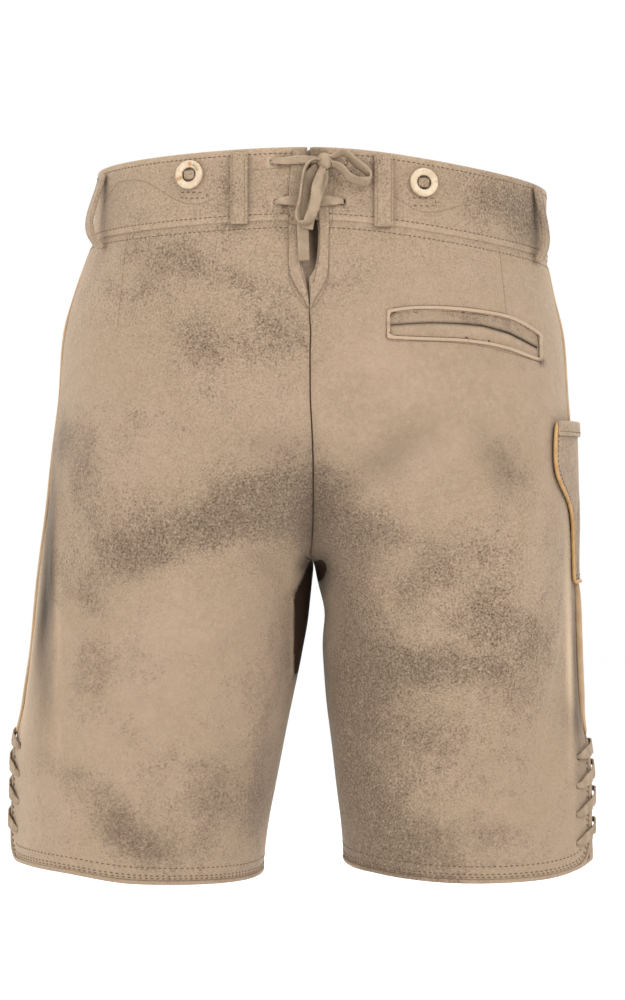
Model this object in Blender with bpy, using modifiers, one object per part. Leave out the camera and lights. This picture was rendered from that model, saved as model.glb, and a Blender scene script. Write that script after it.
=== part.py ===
"""Short lederhosen in suede leather, hollow as worn, modelled from the outer skin inwards.

Every piece is cut from one skin. The skin is a stack of half sections, one for each leg, whose
sizes are in SECTION_ROWS. A place on it is a side, an angle round that leg and a height, and a piece
that lies on another is the same place moved out. Sizes are in millimetres until a mesh is written.

+Z is up, the wearer's front faces -Y and the wearer's left is +X. The origin is in the middle of
the waist, inside the waistband.
"""

import math

import bmesh
import bpy
import numpy as np
from mathutils import Matrix, Vector

MM = 0.001
LEFT, RIGHT = 1, -1
SIDES = ((LEFT, "left"), (RIGHT, "right"))

# Leather and seams
LEATHER = 1.8  # thickness of the suede
SEAM_GAP = 0.25  # half of the air between two panels
WAIST_GAP = 0.9  # air under the waistband, which the flare of the hips closes on the inside
LAYER_GAP = 0.45  # air between a piece and the one that it lies on
ROUNDNESS = 2.35  # exponent of the half sections: 2 is an ellipse, more is squarer

# Heights that the cut depends on
CROTCH_HEIGHT = -265.0
BAND_HEIGHT = 50.0
BAND_THICKNESS = 3.0
BAND_OUT = 1.0  # how far the band stands proud of the panels
TOP_AT_BACK = 31.0
TOP_AT_SIDE = {LEFT: 23.0, RIGHT: 9.0}
TOP_AT_FRONT = -5.0

# One row for each section, from the top down. Outer and inner are the reach of one leg from the
# middle of the garment, back and front its reach along Y. Above the crotch the inner reach is
# below zero: the half section is cut off at the middle, where the two halves are sewn together.
SECTION_COLUMNS = (
    "height", "left_outer", "right_outer", "left_inner", "right_inner", "back", "front",
)
SECTION_ROWS = (
    (45, 156, 171, -156, -171, 121, 115),
    (15, 158, 172, -158, -172, 124, 118),
    (-28, 162, 171, -162, -171, 130, 122),
    (-50, 170, 174, -170, -174, 134, 123),
    (-68, 175.5, 177, -174, -175, 137, 124),
    (-95, 182.8, 183.6, -170, -172, 141, 125),
    (-142, 185.2, 186.3, -130, -131, 146, 124),
    (-172, 189, 188, -98, -99, 147, 122),
    (-203, 192, 189, -62, -63, 145, 120),
    (-230, 195, 190, -32, -32, 141, 118),
    (-250, 198, 192, -12, -12, 137, 116),
    (-265, 200, 193, 0, 0, 133, 114),
    (-290, 203, 195, 3, 5, 127, 112),
    (-320, 206, 196, 6, 7, 120, 110),
    (-364, 213, 198, 15, 10, 112, 108),
    (-394, 216, 202, 21, 14, 108, 107),
    (-431, 217, 206, 28, 18, 104, 107),
    (-463, 218, 206, 34, 22, 102, 107),
    (-515, 217, 205, 38, 24, 101, 107),
)

# Angle of each side seam round the leg, in degrees: 0 is outwards, 90 the back
SIDE_SEAM_COLUMNS = ("height", "left", "right")
SIDE_SEAM_ROWS = (
    (45, 0, 0), (-28, 0, 0), (-120, 2, 6), (-180, 4, 10), (-240, 9, 13), (-300, 13, 15),
    (-350, 13, 16), (-372, 13, 18), (-392, 13, 22), (-412, 13, 26.5), (-438, 13, 29),
    (-515, 13, 29),
)

# Height of the hem round the leg: angle in degrees, with the front below zero
HEM_COLUMNS = ("angle", "left", "right")
HEM_ROWS = (
    (-180, -489.5, -480.5), (-135, -498, -500), (-90, -503, -513), (-40, -494, -501),
    (0, -482, -484), (25, -480, -479.8), (60, -481.8, -487), (90, -489, -488.5),
    (145, -490.8, -482.7), (180, -489.5, -480.5),
)

# The angle that most of a panel's columns fan out to on the inner side of the leg. Only the last
# few turn sharply under the crotch.
FAN_ROWS = (
    (45, 90), (-68, 91), (-100, 93.5), (-142, 102), (-172, 109), (-203, 118), (-230, 129),
    (-250, 140), (-265, 149), (-285, 160), (-310, 170), (-340, 177), (-370, 180), (-515, 180),
)

# Where the back middle seam runs: it wanders to the left above the seat
MIDDLE_ROWS = ((40, 2.6), (-45, 3.0), (-76, 2.2), (-120, 1.3), (-200, 0.3), (-250, 0.0))

# Behind each side seam the back panel rolls in towards the piping
GROOVE_DEPTH, GROOVE_AWAY, GROOVE_WIDTH = 3.2, 6.5, 5.0
GROOVE_LIP, GROOVE_LIP_AWAY, GROOVE_LIP_WIDTH = 1.4, 17.0, 7.0

# The free edges of the slit stand out from the leg, and the leather runs flat to them
SLIT_OUT = {LEFT: 4.6, RIGHT: 2.6}
SLIT_OUT_WIDTH = 30.0

# The largest soft folds. Each runs from one point to another, seen from behind or from the front,
# with x the distance from the middle. A positive depth is a ridge, a negative one a valley.
FOLD_COLUMNS = ("side", "face", "x1", "z1", "x2", "z2", "width", "depth")
FOLDS = (
    (RIGHT, "back", 168, -165, 128, -430, 15, 6.5),
    (RIGHT, "back", 182, -250, 166, -440, 13, -5.0),
    (RIGHT, "back", 122, -205, 60, -300, 16, -5.0),
    (RIGHT, "back", 96, -190, 40, -262, 14, 3.5),
    (RIGHT, "back", 18, -305, 74, -380, 11, -4.0),
    (RIGHT, "back", 44, -300, 92, -420, 14, 3.0),
    (LEFT, "back", 186, -180, 196, -400, 9, 3.0),
    (LEFT, "back", 26, -296, 66, -350, 11, -4.0),
    (LEFT, "back", 120, -215, 46, -285, 18, -4.5),
    (LEFT, "back", 160, -300, 178, -450, 16, -3.5),
    (LEFT, "front", 150, -120, 60, -235, 17, -5.5),
    (LEFT, "front", 120, -260, 52, -300, 14, -4.5),
    (LEFT, "front", 150, -300, 140, -470, 17, 5.5),
    (RIGHT, "front", 148, -130, 56, -240, 17, -5.5),
    (RIGHT, "front", 112, -268, 46, -306, 14, -4.5),
    (RIGHT, "front", 132, -310, 126, -480, 17, 5.5),
)

# The opening at the middle of the back, from the waist down to a point: half its width
VENT_POINT = -76.0
VENT_ROWS = (
    (40, 1.7), (26, 1.8), (18, 2.6), (0, 4.2), (-25, 4.5), (-48, 4.3), (-62, 3.0), (-70, 1.5),
    (-76, 0.3),
)
VENT_STRIP = 9.5
GUSSET_TOP = 27.0

# The slit at the side of each leg, and its lacing
SLIT_TOP = -388.0
SLIT_LOW = -478.0  # where the widths of the lower corners are measured
SLIT_CORNER = {"back": 18.0, "front": 28.0}  # radius of the panels' lower corners
HEM_BAR = 3.0
HEM_INSET = HEM_BAR + 0.85  # the panels end this far inside the finished edge
EYELET_TOP = {LEFT: -394.5, RIGHT: -401.5}
EYELET_STEP = 20.5
EYELET_IN = {LEFT: 17.0, RIGHT: 19.0}  # along the leather from the middle of the slit
EYELET_RISES = (9.0, 15.0, 16.0, 14.0)  # the front eyelets sit this much above the back ones
EYELET_RADIUS = 3.2
LACE_WIDTH = 8.0
LACE_THICKNESS = 1.4
LACE_NECK = 4.0  # width where the lace is squeezed through an eyelet
LACE_LIFT = 1.25  # air between a side lace and the curved leather that it crosses

PIPING_RADIUS = 1.6

# Belt loops: name, side, face, distance from the middle, width, how far the top is below the
# band's top and the bottom below its lower edge, how far they bow out, and how low: 1 is half way
# down, more is lower
LOOP_COLUMNS = ("name", "side", "face", "x", "width", "top", "bottom", "bow", "low")
LOOPS = (
    ("belt_loop_back_left", LEFT, "back", 51, 12.4, 1.5, 2.9, 1.2, 1.0),
    ("belt_loop_back_right", RIGHT, "back", 49.5, 13.4, 1.5, 2.7, 1.2, 1.0),
    ("belt_loop_side_left", LEFT, "back", 149.5, 11, 4.5, 10.0, 10.0, 2.0),
    ("belt_loop_side_right", RIGHT, "back", 160, 11, 1.5, 6.0, 6.5, 2.0),
    ("belt_loop_front_left", LEFT, "front", 118, 12, 1.5, 3.5, 1.8, 1.0),
    ("belt_loop_front_right", RIGHT, "front", 118, 12, 1.5, 3.5, 1.8, 1.0),
)
LOOP_THICKNESS = 2.4

# Ring buttons of horn: name, side, face, distance from the middle, height, what they stand on
BUTTON_COLUMNS = ("name", "side", "face", "x", "z", "out")
FLAP_THICKNESS = 2.0
FLAP_OUT = BAND_OUT + 2 * LAYER_GAP + FLAP_THICKNESS
BUTTONS = (
    ("brace_button_back_left", LEFT, "back", 85.6, 12.8, BAND_OUT),
    ("brace_button_back_right", RIGHT, "back", 77.4, 6.8, BAND_OUT),
    ("brace_button_front_left", LEFT, "front", 94, -18, BAND_OUT),
    ("brace_button_front_right", RIGHT, "front", 94, -22, BAND_OUT),
    ("flap_button_left", LEFT, "front", 58, -26, FLAP_OUT),
    ("flap_button_right", RIGHT, "front", 58, -26, FLAP_OUT),
)
BUTTON_RADIUS = 10.3
BUTTON_HOLE = 5.0
BUTTON_THICKNESS = 4.0
BUTTON_SIDES = 14

# The drop front
FLAP_TOP, FLAP_BOTTOM = -9.0, -178.0
FLAP_HALF_TOP, FLAP_HALF_BOTTOM = 72.0, 60.0

# The welt pocket on the right of the seat: the outline's upper and lower edge and the slit
POCKET_COLUMNS = ("x", "upper", "slit", "lower")
POCKET_ROWS = (
    (51.5, -83.4, -94.2, -103.8),
    (66, -80.9, -93.0, -104.5),
    (81, -80.1, -92.0, -104.9),
    (100, -80.7, -92.1, -105.3),
    (120, -82.4, -93.4, -107.0),
    (139, -85.4, -98.0, -110.6),
    (152, -90.8, -103.8, -115.0),
    (163.5, -97.6, -109.0, -118.2),
)
POCKET_FRAME = 2.6
POCKET_SINK = 0.5  # how far the welts lie below the leather round them

# The knife pocket over the right side seam: reach behind and before the seam, down its length
KNIFE_TOP, KNIFE_BOTTOM = -161.0, -273.0
KNIFE_COLUMNS = ("share", "behind", "before")
KNIFE_ROWS = (
    (0.0, 51.5, 22), (0.1, 55.5, 21.5), (0.21, 58, 20.5), (0.32, 57.5, 20), (0.43, 44.5, 20),
    (0.52, 29, 22), (0.65, 22.5, 24), (1.0, 24, 24),
)
KNIFE_BOW = 3.2
KNIFE_HEM = 8.5

# Bow of the back lace
KNOT_X, KNOT_Z, KNOT_OUT = -8.4, 20.2, 8.2  # x is positive to the left
KNOT_RADII = (6.2, 6.6, 3.9)
KNOT_GAP = 0.35
LACE_HOLES = {  # name: (x, z) on the band
    "upper_left": (28.0, 21.5), "lower_left": (25.3, -7.0),
    "lower_right": (-21.0, -7.0), "upper_right": (-23.0, 20.5),
}
LACE_HOLE_RADIUS = 3.0

# Colours, as linear red, green and blue
SUEDE = (0.41, 0.30, 0.20)
SUEDE_DARK = (0.33, 0.24, 0.165)
OCHRE = (0.56, 0.35, 0.12)
HORN = (0.75, 0.62, 0.44)


# ---------------------------------------------------------------- smooth tables


def column(rows, columns, name):
    """One column of a table, with its first column, as two lists that rise."""
    place = columns.index(name)
    pairs = sorted((row[0], row[place]) for row in rows)
    return tuple(np.array(pairs, float).T)


def smooth(table, at):
    """The value of a table at a place, on a cubic curve through its rows."""
    keys, values = table
    at = min(max(at, keys[0]), keys[-1])
    i = min(max(int(np.searchsorted(keys, at)) - 1, 0), len(keys) - 2)
    slopes = (values[1:] - values[:-1]) / (keys[1:] - keys[:-1])

    def slope(k):
        if k == 0 or k == len(keys) - 1:
            return slopes[min(k, len(slopes) - 1)]
        before, after = slopes[k - 1], slopes[k]
        return 0.0 if before * after <= 0 else 2 * before * after / (before + after)

    step = keys[i + 1] - keys[i]
    t = (at - keys[i]) / step
    return (
        (2 * t**3 - 3 * t**2 + 1) * values[i]
        + (t**3 - 2 * t**2 + t) * step * slope(i)
        + (3 * t**2 - 2 * t**3) * values[i + 1]
        + (t**3 - t**2) * step * slope(i + 1)
    )


def ramp(value, start, end):
    """0 before start, 1 after end and a soft step between them."""
    t = min(max((value - start) / (end - start), 0.0), 1.0)
    return t * t * (3 - 2 * t)


OUTER = {
    side: column(SECTION_ROWS, SECTION_COLUMNS, f"{name}_outer") for side, name in SIDES
}
INNER = {
    side: column(SECTION_ROWS, SECTION_COLUMNS, f"{name}_inner") for side, name in SIDES
}
BACK = column(SECTION_ROWS, SECTION_COLUMNS, "back")
FRONT = column(SECTION_ROWS, SECTION_COLUMNS, "front")
SIDE_SEAM = {side: column(SIDE_SEAM_ROWS, SIDE_SEAM_COLUMNS, name) for side, name in SIDES}
HEM = {side: column(HEM_ROWS, HEM_COLUMNS, name) for side, name in SIDES}
VENT = column(VENT_ROWS, ("height", "half"), "half")
MIDDLE = column(MIDDLE_ROWS, ("height", "left"), "left")
FAN = column(FAN_ROWS, ("height", "angle"), "angle")


# ---------------------------------------------------------------- the skin


def section(side, height):
    """Centre and half sizes of a leg's section: (centre x, half x, centre y, half y)."""
    outer, inner = smooth(OUTER[side], height), smooth(INNER[side], height)
    back, front = smooth(BACK, height), smooth(FRONT, height)
    return (outer + inner) / 2, (outer - inner) / 2, (back - front) / 2, (back + front) / 2


def groove_out(away, height):
    """How far the back panel dips beside the side seam, and swells behind the dip."""
    fade = ramp(height, -196, -232) * (1 - ramp(height, -368, SLIT_TOP))
    dip = GROOVE_DEPTH * math.exp(-(((away - GROOVE_AWAY) / GROOVE_WIDTH) ** 2))
    lip = GROOVE_LIP * math.exp(-(((away - GROOVE_LIP_AWAY) / GROOVE_LIP_WIDTH) ** 2))
    return fade * (lip - dip)


def slit_out(side, away, height):
    """How far the leather stands out beside the slit."""
    near = max(0.0, 1 - math.hypot(away, 2.0) / SLIT_OUT_WIDTH)
    return SLIT_OUT[side] * near**1.5 * (1 - ramp(height, -402, -370))


def fold_out(side, x, y, centre_y, height):
    """How far the folds push the leather out at a place, x being its distance from the middle."""
    face = "back" if y > centre_y else "front"
    total = 0.0
    for row in FOLDS:
        fold = dict(zip(FOLD_COLUMNS, row))
        if fold["side"] != side or fold["face"] != face:
            continue
        start = np.array((fold["x1"], fold["z1"]), float)
        run = np.array((fold["x2"], fold["z2"]), float) - start
        away = np.array((x, height)) - start
        t = float(away @ run / (run @ run))
        inside = min(max(t, 0.0), 1.0)
        distance = float(np.linalg.norm(away - inside * run))
        fade = math.sin(math.pi * (0.12 + 0.76 * inside))
        total += fold["depth"] * fade * math.exp(-((distance / fold["width"]) ** 2))
    at_seam = ramp(x, 6, 34)
    at_side = ramp(abs(y - centre_y), 4, 30)
    return total * at_seam * at_side


def skin(side, angle, height):
    """A point of the outer skin. The angle is in radians: 0 outwards, a quarter turn the back."""
    centre_x, half_x, centre_y, half_y = section(side, height)
    across = (abs(math.cos(angle)) / half_x) ** ROUNDNESS
    along = (abs(math.sin(angle)) / half_y) ** ROUNDNESS
    reach = (across + along) ** (-1 / ROUNDNESS)
    x, y = centre_x + reach * math.cos(angle), centre_y + reach * math.sin(angle)
    push = fold_out(side, x, y, centre_y, height)
    away = (angle - seam_angle(side, height)) * half_x
    push += groove_out(away, height) + slit_out(side, away, height)
    x += push * math.cos(angle)
    y += push * math.sin(angle)
    return np.array((side * x, y, height))


def normal(side, angle, height):
    """The outward direction of the skin at a place."""
    turn, lift = 0.02, 2.0
    round_it = skin(side, angle + turn, height) - skin(side, angle - turn, height)
    up = skin(side, angle, height + lift) - skin(side, angle, height - lift)
    out = np.cross(round_it, up) * side
    return out / np.linalg.norm(out)


def moved_out(side, angle, height, out):
    """A place on the skin moved out by a distance, or in if it is below zero."""
    return skin(side, angle, height) + out * normal(side, angle, height)


def middle_angle(side, height, clear, face):
    """The angle at which the half section comes this close to the middle of the garment."""
    centre_x, half_x, _, half_y = section(side, height)
    share = (centre_x - clear) / half_x
    sign = 1 if face == "back" else -1
    most = math.pi - SEAM_GAP / half_x
    if share >= 1:
        return sign * most
    depth = half_y * (1 - abs(share) ** ROUNDNESS) ** (1 / ROUNDNESS)
    return sign * min(math.atan2(depth, clear - centre_x), most)


def face_angle(side, face, x, height):
    """The angle of the place that lies this far from the middle on the back or the front."""
    return middle_angle(side, height, x, face)


def seam_angle(side, height):
    return math.radians(smooth(SIDE_SEAM[side], height))


def panel_side_clearance(height):
    """How far a panel stops from the middle of the side seam: beside the piping or a slit bar."""
    return PIPING_RADIUS + 0.6 if height > SLIT_TOP else HEM_INSET


def middle_edge(side, height, face):
    """The distance from the middle at which a panel or the band stops."""
    if face == "front":
        return SEAM_GAP
    half = max(smooth(VENT, height), SEAM_GAP) if height > VENT_POINT else SEAM_GAP
    return half + side * smooth(MIDDLE, height)


def top_height(side, angle):
    """Height of the top of the waistband."""
    far = TOP_AT_BACK if angle > 0 else TOP_AT_FRONT
    return TOP_AT_SIDE[side] + (far - TOP_AT_SIDE[side]) * math.sin(angle) ** 2


def hem_height(side, face, angle, inset):
    """Height of a line this far inside a panel's finished outline, which is round at the slit."""
    radius = SLIT_CORNER[face] - inset
    from_slit = abs(angle - seam_angle(side, SLIT_LOW)) * section(side, SLIT_LOW)[1]
    into_corner = max(0.0, radius - max(0.0, from_slit - inset))
    rise = radius - math.sqrt(max(0.0, radius**2 - into_corner**2))
    return smooth(HEM[side], math.degrees(angle)) + inset + rise


# ---------------------------------------------------------------- making objects


def finish(obj, colour, roughness=0.9):
    """Gives an object its material and puts it in the garment's collection."""
    material = bpy.data.materials.get(colour[0])
    if material is None:
        material = bpy.data.materials.new(colour[0])
        material.use_nodes = True
        shader = material.node_tree.nodes["Principled BSDF"]
        shader.inputs["Base Color"].default_value = (*colour[1], 1)
        shader.inputs["Roughness"].default_value = roughness
    obj.data.materials.append(material)
    return obj


def new_object(name, mesh, collection="lederhosen"):
    obj = bpy.data.objects.new(name, mesh)
    bpy.data.collections[collection].objects.link(obj)
    return obj


def wall(name, columns, rows, place, thickness, colour, offset=-1.0):
    """A sheet of leather. place(across, down) gives a point of its outer face and its outward
    direction, with across and down from 0 to 1, and Solidify gives the sheet its thickness."""
    mesh = bpy.data.meshes.new(name)
    grid = bmesh.new()
    bmesh.ops.create_grid(grid, x_segments=columns, y_segments=rows, size=1)
    outward = None
    for vertex in grid.verts:
        point, out = place((vertex.co.x + 1) / 2, (1 - vertex.co.y) / 2)
        vertex.co = Vector(point) * MM
        if outward is None:
            outward = (vertex, Vector(out))
    grid.normal_update()
    vertex, out = outward
    if vertex.link_faces[0].normal.dot(out) < 0:
        bmesh.ops.reverse_faces(grid, faces=grid.faces)
    grid.to_mesh(mesh)
    grid.free()
    obj = new_object(name, mesh)
    solid = obj.modifiers.new("thickness", "SOLIDIFY")
    solid.thickness = thickness * MM
    solid.offset = offset
    mesh.shade_smooth()
    return finish(obj, colour)


def ribbon(name, stations, thickness, colour):
    """A strap through stations of (centre, direction across it, half width, outward)."""
    last = len(stations) - 1

    def place(across, down):
        centre, direction, half, out = stations[round(down * last)]
        return centre + direction * half * (2 * across - 1), out

    return wall(name, 1, last, place, thickness, colour, offset=0.0)


def through(points, count):
    """Evenly spaced points of a smooth curve through the given ones."""
    points = np.array(points, float)
    ends = np.vstack([2 * points[0] - points[1], points, 2 * points[-1] - points[-2]])
    fine = []
    for k in range(len(points) - 1):
        a, b, c, d = ends[k : k + 4]
        for t in np.linspace(0, 1, 24, endpoint=False):
            fine.append(
                0.5
                * (2 * b + (c - a) * t + (2 * a - 5 * b + 4 * c - d) * t**2
                   + (3 * b - a - 3 * c + d) * t**3)
            )
    fine.append(points[-1])
    fine = np.array(fine)
    along = np.concatenate([[0], np.cumsum(np.linalg.norm(np.diff(fine, axis=0), axis=1))])
    at = np.linspace(0, along[-1], count)
    return np.stack([np.interp(at, along, fine[:, k]) for k in range(fine.shape[1])], axis=1)


def tube(name, points, radius, colour):
    """A round bead through the points, as a curve with filled caps."""
    curve = bpy.data.curves.new(name, "CURVE")
    curve.dimensions = "3D"
    curve.bevel_depth = radius * MM
    curve.bevel_resolution = 1
    curve.use_fill_caps = True
    spline = curve.splines.new("POLY")
    spline.points.add(len(points) - 1)
    for knot, point in zip(spline.points, points):
        knot.co = (*(Vector(point) * MM), 1)
    return finish(new_object(name, curve), colour)


def cutter(name, shapes):
    """One helper mesh that holds several closed shapes to cut away."""
    mesh = bpy.data.meshes.new(name)
    shapes.to_mesh(mesh)
    shapes.free()
    obj = new_object(name, mesh, "cutters")
    obj.hide_render = True
    obj.display_type = "WIRE"
    return obj


def cut(obj, tool):
    boolean = obj.modifiers.new(tool.name, "BOOLEAN")
    boolean.operation = "DIFFERENCE"
    boolean.solver = "EXACT"
    boolean.object = tool


def drill(obj, places, radius):
    """Cuts round holes, each a (point, direction), through a sheet."""
    shapes = bmesh.new()
    for point, direction in places:
        turn = Vector(direction).to_track_quat("Z", "Y").to_matrix().to_4x4()
        bmesh.ops.create_cone(
            shapes,
            cap_ends=True,
            segments=8,
            radius1=radius * MM,
            radius2=radius * MM,
            depth=14 * MM,
            matrix=Matrix.Translation(Vector(point) * MM) @ turn,
        )
    cut(obj, cutter(obj.name + "_holes", shapes))


# ---------------------------------------------------------------- panels

SUEDE_FINISH = ("suede", SUEDE)
TRIM_FINISH = ("suede_trim", SUEDE_DARK)
PIPING_FINISH = ("ochre_piping", OCHRE)
HORN_FINISH = ("horn", HORN)
PANEL_COLUMNS = 16
ROWS_TO_CROTCH, ROWS_TO_SLIT, ROWS_TO_HEM = 13, 6, 5


def crowded(across):
    """Spreads columns over a panel so that most of them stand near the side seam."""
    start_slope, end_slope = 0.8, 0.15
    return (
        (across**3 - 2 * across**2 + across) * start_slope
        + (3 * across**2 - 2 * across**3)
        + (across**3 - across**2) * end_slope
    )


def panel_angle(side, face, across, height):
    """The angle of a place on a panel, across from the middle to the side seam."""
    sign = 1 if face == "back" else -1
    inner = middle_angle(side, height, middle_edge(side, height, face), face)
    beside_seam = sign * panel_side_clearance(height) / section(side, height)[1]
    outer = seam_angle(side, height) + beside_seam
    fan = sign * math.radians(smooth(FAN, height))
    inwards = 1 - across
    return outer + (fan - outer) * inwards + (inner - fan) * inwards**5


def panel_height(side, face, across, row):
    """The height of a row of a panel, from the waist seam past crotch and slit to the hem."""
    waist_angle = panel_angle(side, face, across, -25)
    top = top_height(side, waist_angle) - BAND_HEIGHT - WAIST_GAP
    if row <= ROWS_TO_CROTCH:
        share = 1 - row / ROWS_TO_CROTCH
        return CROTCH_HEIGHT + (top - CROTCH_HEIGHT) * share**1.5
    row -= ROWS_TO_CROTCH
    slit = SLIT_TOP - 0.5
    if row <= ROWS_TO_SLIT:
        return CROTCH_HEIGHT + (slit - CROTCH_HEIGHT) * row / ROWS_TO_SLIT
    row -= ROWS_TO_SLIT
    hem_angle = panel_angle(side, face, across, SLIT_LOW)
    hem = hem_height(side, face, hem_angle, HEM_INSET)
    return slit + (hem - slit) * row / ROWS_TO_HEM


def make_panels():
    """Two backs and two fronts, each from the waist seam to the hem."""
    made = {}
    rows = ROWS_TO_CROTCH + ROWS_TO_SLIT + ROWS_TO_HEM
    for side, side_name in SIDES:
        for face in ("back", "front"):

            def place(across, down, side=side, face=face):
                across = crowded(across)
                height = panel_height(side, face, across, round(down * rows))
                angle = panel_angle(side, face, across, height)
                return skin(side, angle, height), normal(side, angle, height)

            name = f"{face}_{side_name}"
            made[face, side] = wall(name, PANEL_COLUMNS, rows, place, LEATHER, SUEDE_FINISH)
    return made


def make_bands():
    """The waistband in four lengths, open at the back and meeting at the front."""
    made = {}
    for side, side_name in SIDES:
        for face in ("back", "front"):
            sign = 1 if face == "back" else -1

            def place(across, down, side=side, face=face, sign=sign):
                height = TOP_AT_SIDE[side] - BAND_HEIGHT * down
                for _ in range(2):
                    inner = middle_angle(side, height, middle_edge(side, height, face), face)
                    outer = sign * SEAM_GAP / section(side, height)[1]
                    angle = inner + (outer - inner) * across
                    height = top_height(side, angle) - BAND_HEIGHT * down
                return moved_out(side, angle, height, BAND_OUT), normal(side, angle, height)

            name = f"waistband_{face}_{side_name}"
            made[face, side] = wall(name, 14, 2, place, BAND_THICKNESS, SUEDE_FINISH)
    return made


def on_face(side, face, x, height, out):
    """A point on the back or front at this distance from the middle, and its direction out."""
    angle = face_angle(side, face, x, height)
    return moved_out(side, angle, height, out), normal(side, angle, height)


def on_back(x, height, out):
    """The same on the back, with x positive to the left and below zero to the right."""
    side = LEFT if x >= 0 else RIGHT
    return on_face(side, "back", abs(x), height, out)


def level_out(height, seam_height):
    """What a piece over the waist seam stands on: the band above it and the panel below."""
    return BAND_OUT * ramp(height, seam_height - 7, seam_height - 1)


def make_vent():
    """The strips that edge the opening at the back, and the gusset behind it."""
    seam_height = TOP_AT_BACK - BAND_HEIGHT
    thick = 1.2
    top, bottom = TOP_AT_BACK - 0.5, VENT_POINT - 6
    for side, side_name in SIDES:

        def place(across, down, side=side):
            height = top + (bottom - top) * down
            width = 0.8 + (VENT_STRIP - 0.8) * ramp(height, bottom, -60)
            x = middle_edge(side, height, "back") + width * across
            out = level_out(height, seam_height) + LAYER_GAP + thick
            return on_face(side, "back", x, height, out)

        wall(f"vent_strip_{side_name}", 2, 14, place, thick, TRIM_FINISH)

    def gusset(across, down):
        height = GUSSET_TOP + (VENT_POINT + 8 - GUSSET_TOP) * down
        reach = smooth(VENT, height) + 6
        x = smooth(MIDDLE, height) + reach * (2 * across - 1)
        sunk = (3 + 17 * (1 - down)) * (1 - (2 * across - 1) ** 2)
        point, direction = on_back(x, height, BAND_OUT - BAND_THICKNESS - LAYER_GAP)
        return point - np.array((0, sunk, 0)), direction

    wall("vent_gusset", 6, 12, gusset, thick, TRIM_FINISH)


# ---------------------------------------------------------------- edges and piping


def make_piping():
    """The bead in each side seam, from the waist seam to the top of the slit."""
    for side, side_name in SIDES:
        top = TOP_AT_SIDE[side] - BAND_HEIGHT - WAIST_GAP - 1
        heights = np.linspace(top, SLIT_TOP + 1, 26)
        points = [moved_out(side, seam_angle(side, h), h, 0.2) for h in heights]
        tube(f"side_piping_{side_name}", points, PIPING_RADIUS, TRIM_FINISH)


def hem_route(side, face):
    """Places of the bar that edges a panel, as (angle, height): down the slit, round its corner
    and along the hem."""
    sign = 1 if face == "back" else -1
    inset = SEAM_GAP + HEM_BAR / 2
    half_x = section(side, SLIT_LOW)[1]
    start = seam_angle(side, SLIT_LOW) + sign * inset / half_x
    radius = SLIT_CORNER[face] - inset
    corner_top = smooth(HEM[side], math.degrees(start)) + inset + radius
    places = []
    for height in np.linspace(SLIT_TOP - 1.5, corner_top, 7):
        beside_seam = sign * inset / section(side, height)[1]
        places.append((seam_angle(side, height) + beside_seam, height))
    for step in range(1, 6):
        away = radius * (1 - math.cos(step / 6 * math.pi / 2))
        angle = start + sign * away / half_x
        places.append((angle, hem_height(side, face, angle, inset)))
    first = start + sign * radius / half_x
    last = sign * (math.pi - 2 * SEAM_GAP / half_x)
    for angle in np.linspace(first, last, 16):
        places.append((angle, hem_height(side, face, angle, inset)))
    return places


def make_hem_bars():
    """The folded edge round each panel's slit and hem, as a bar outside the panel."""
    for side, side_name in SIDES:
        for face in ("back", "front"):
            route = hem_route(side, face)
            centres = [moved_out(side, angle, height, -0.5) for angle, height in route]
            outs = [normal(side, angle, height) for angle, height in route]
            stations = []
            for k, (centre, out) in enumerate(zip(centres, outs)):
                along = centres[min(k + 1, len(centres) - 1)] - centres[max(k - 1, 0)]
                across = np.cross(out, along)
                across /= np.linalg.norm(across)
                stations.append((centre, across, HEM_BAR / 2, out))
            ribbon(f"hem_{face}_{side_name}", stations, 2.8, TRIM_FINISH)


def side_place(side, away, height, out):
    """A point at the side of the leg, this far behind the seam, or before it if below zero."""
    angle = seam_angle(side, height) + away / section(side, height)[1]
    return moved_out(side, angle, height, out), normal(side, angle, height)


def make_side_laces(panels):
    """A flat lace that winds through four eyelets in each edge of the slit."""
    over = LACE_THICKNESS / 2 + LACE_LIFT
    under = -LEATHER - LACE_THICKNESS / 2 - LACE_LIFT
    for side, side_name in SIDES:
        backs = [EYELET_TOP[side] - k * EYELET_STEP for k in range(len(EYELET_RISES))]
        fronts = [height + rise for height, rise in zip(backs, EYELET_RISES)]
        half = LACE_WIDTH / 2
        neck = LACE_NECK / 2
        eyelet_in = EYELET_IN[side]
        keys = []
        for k, rise in enumerate(EYELET_RISES):
            keys += [
                (eyelet_in, backs[k], under, neck),
                (eyelet_in, backs[k], -LEATHER / 2, neck),
                (eyelet_in - 0.6, backs[k] + 0.4, over, neck),
                (eyelet_in * 0.6, backs[k] + rise * 0.2, over + 0.3, half),
                (0.0, backs[k] + rise * 0.5, over + 1.0, half),
                (-eyelet_in * 0.6, backs[k] + rise * 0.8, over + 0.3, half),
                (-eyelet_in + 0.6, fronts[k] - 0.4, over, neck),
                (-eyelet_in, fronts[k], -LEATHER / 2, neck),
                (-eyelet_in, fronts[k], under, neck),
            ]
            if k < len(EYELET_RISES) - 1:
                keys += [(0.0, (fronts[k] + backs[k + 1]) / 2, under - 1.0, half * 0.8)]
        route = through(keys, 18 * len(EYELET_RISES))
        points, outs = zip(*(side_place(side, a, h, o) for a, h, o, _ in route))
        make_lace(f"side_lace_{side_name}", points, outs, route[:, 3])
        for face, sign, heights in (("back", 1, backs), ("front", -1, fronts)):
            holes = [side_place(side, sign * eyelet_in, h, -LEATHER / 2) for h in heights]
            drill(panels[face, side], holes, EYELET_RADIUS)


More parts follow.
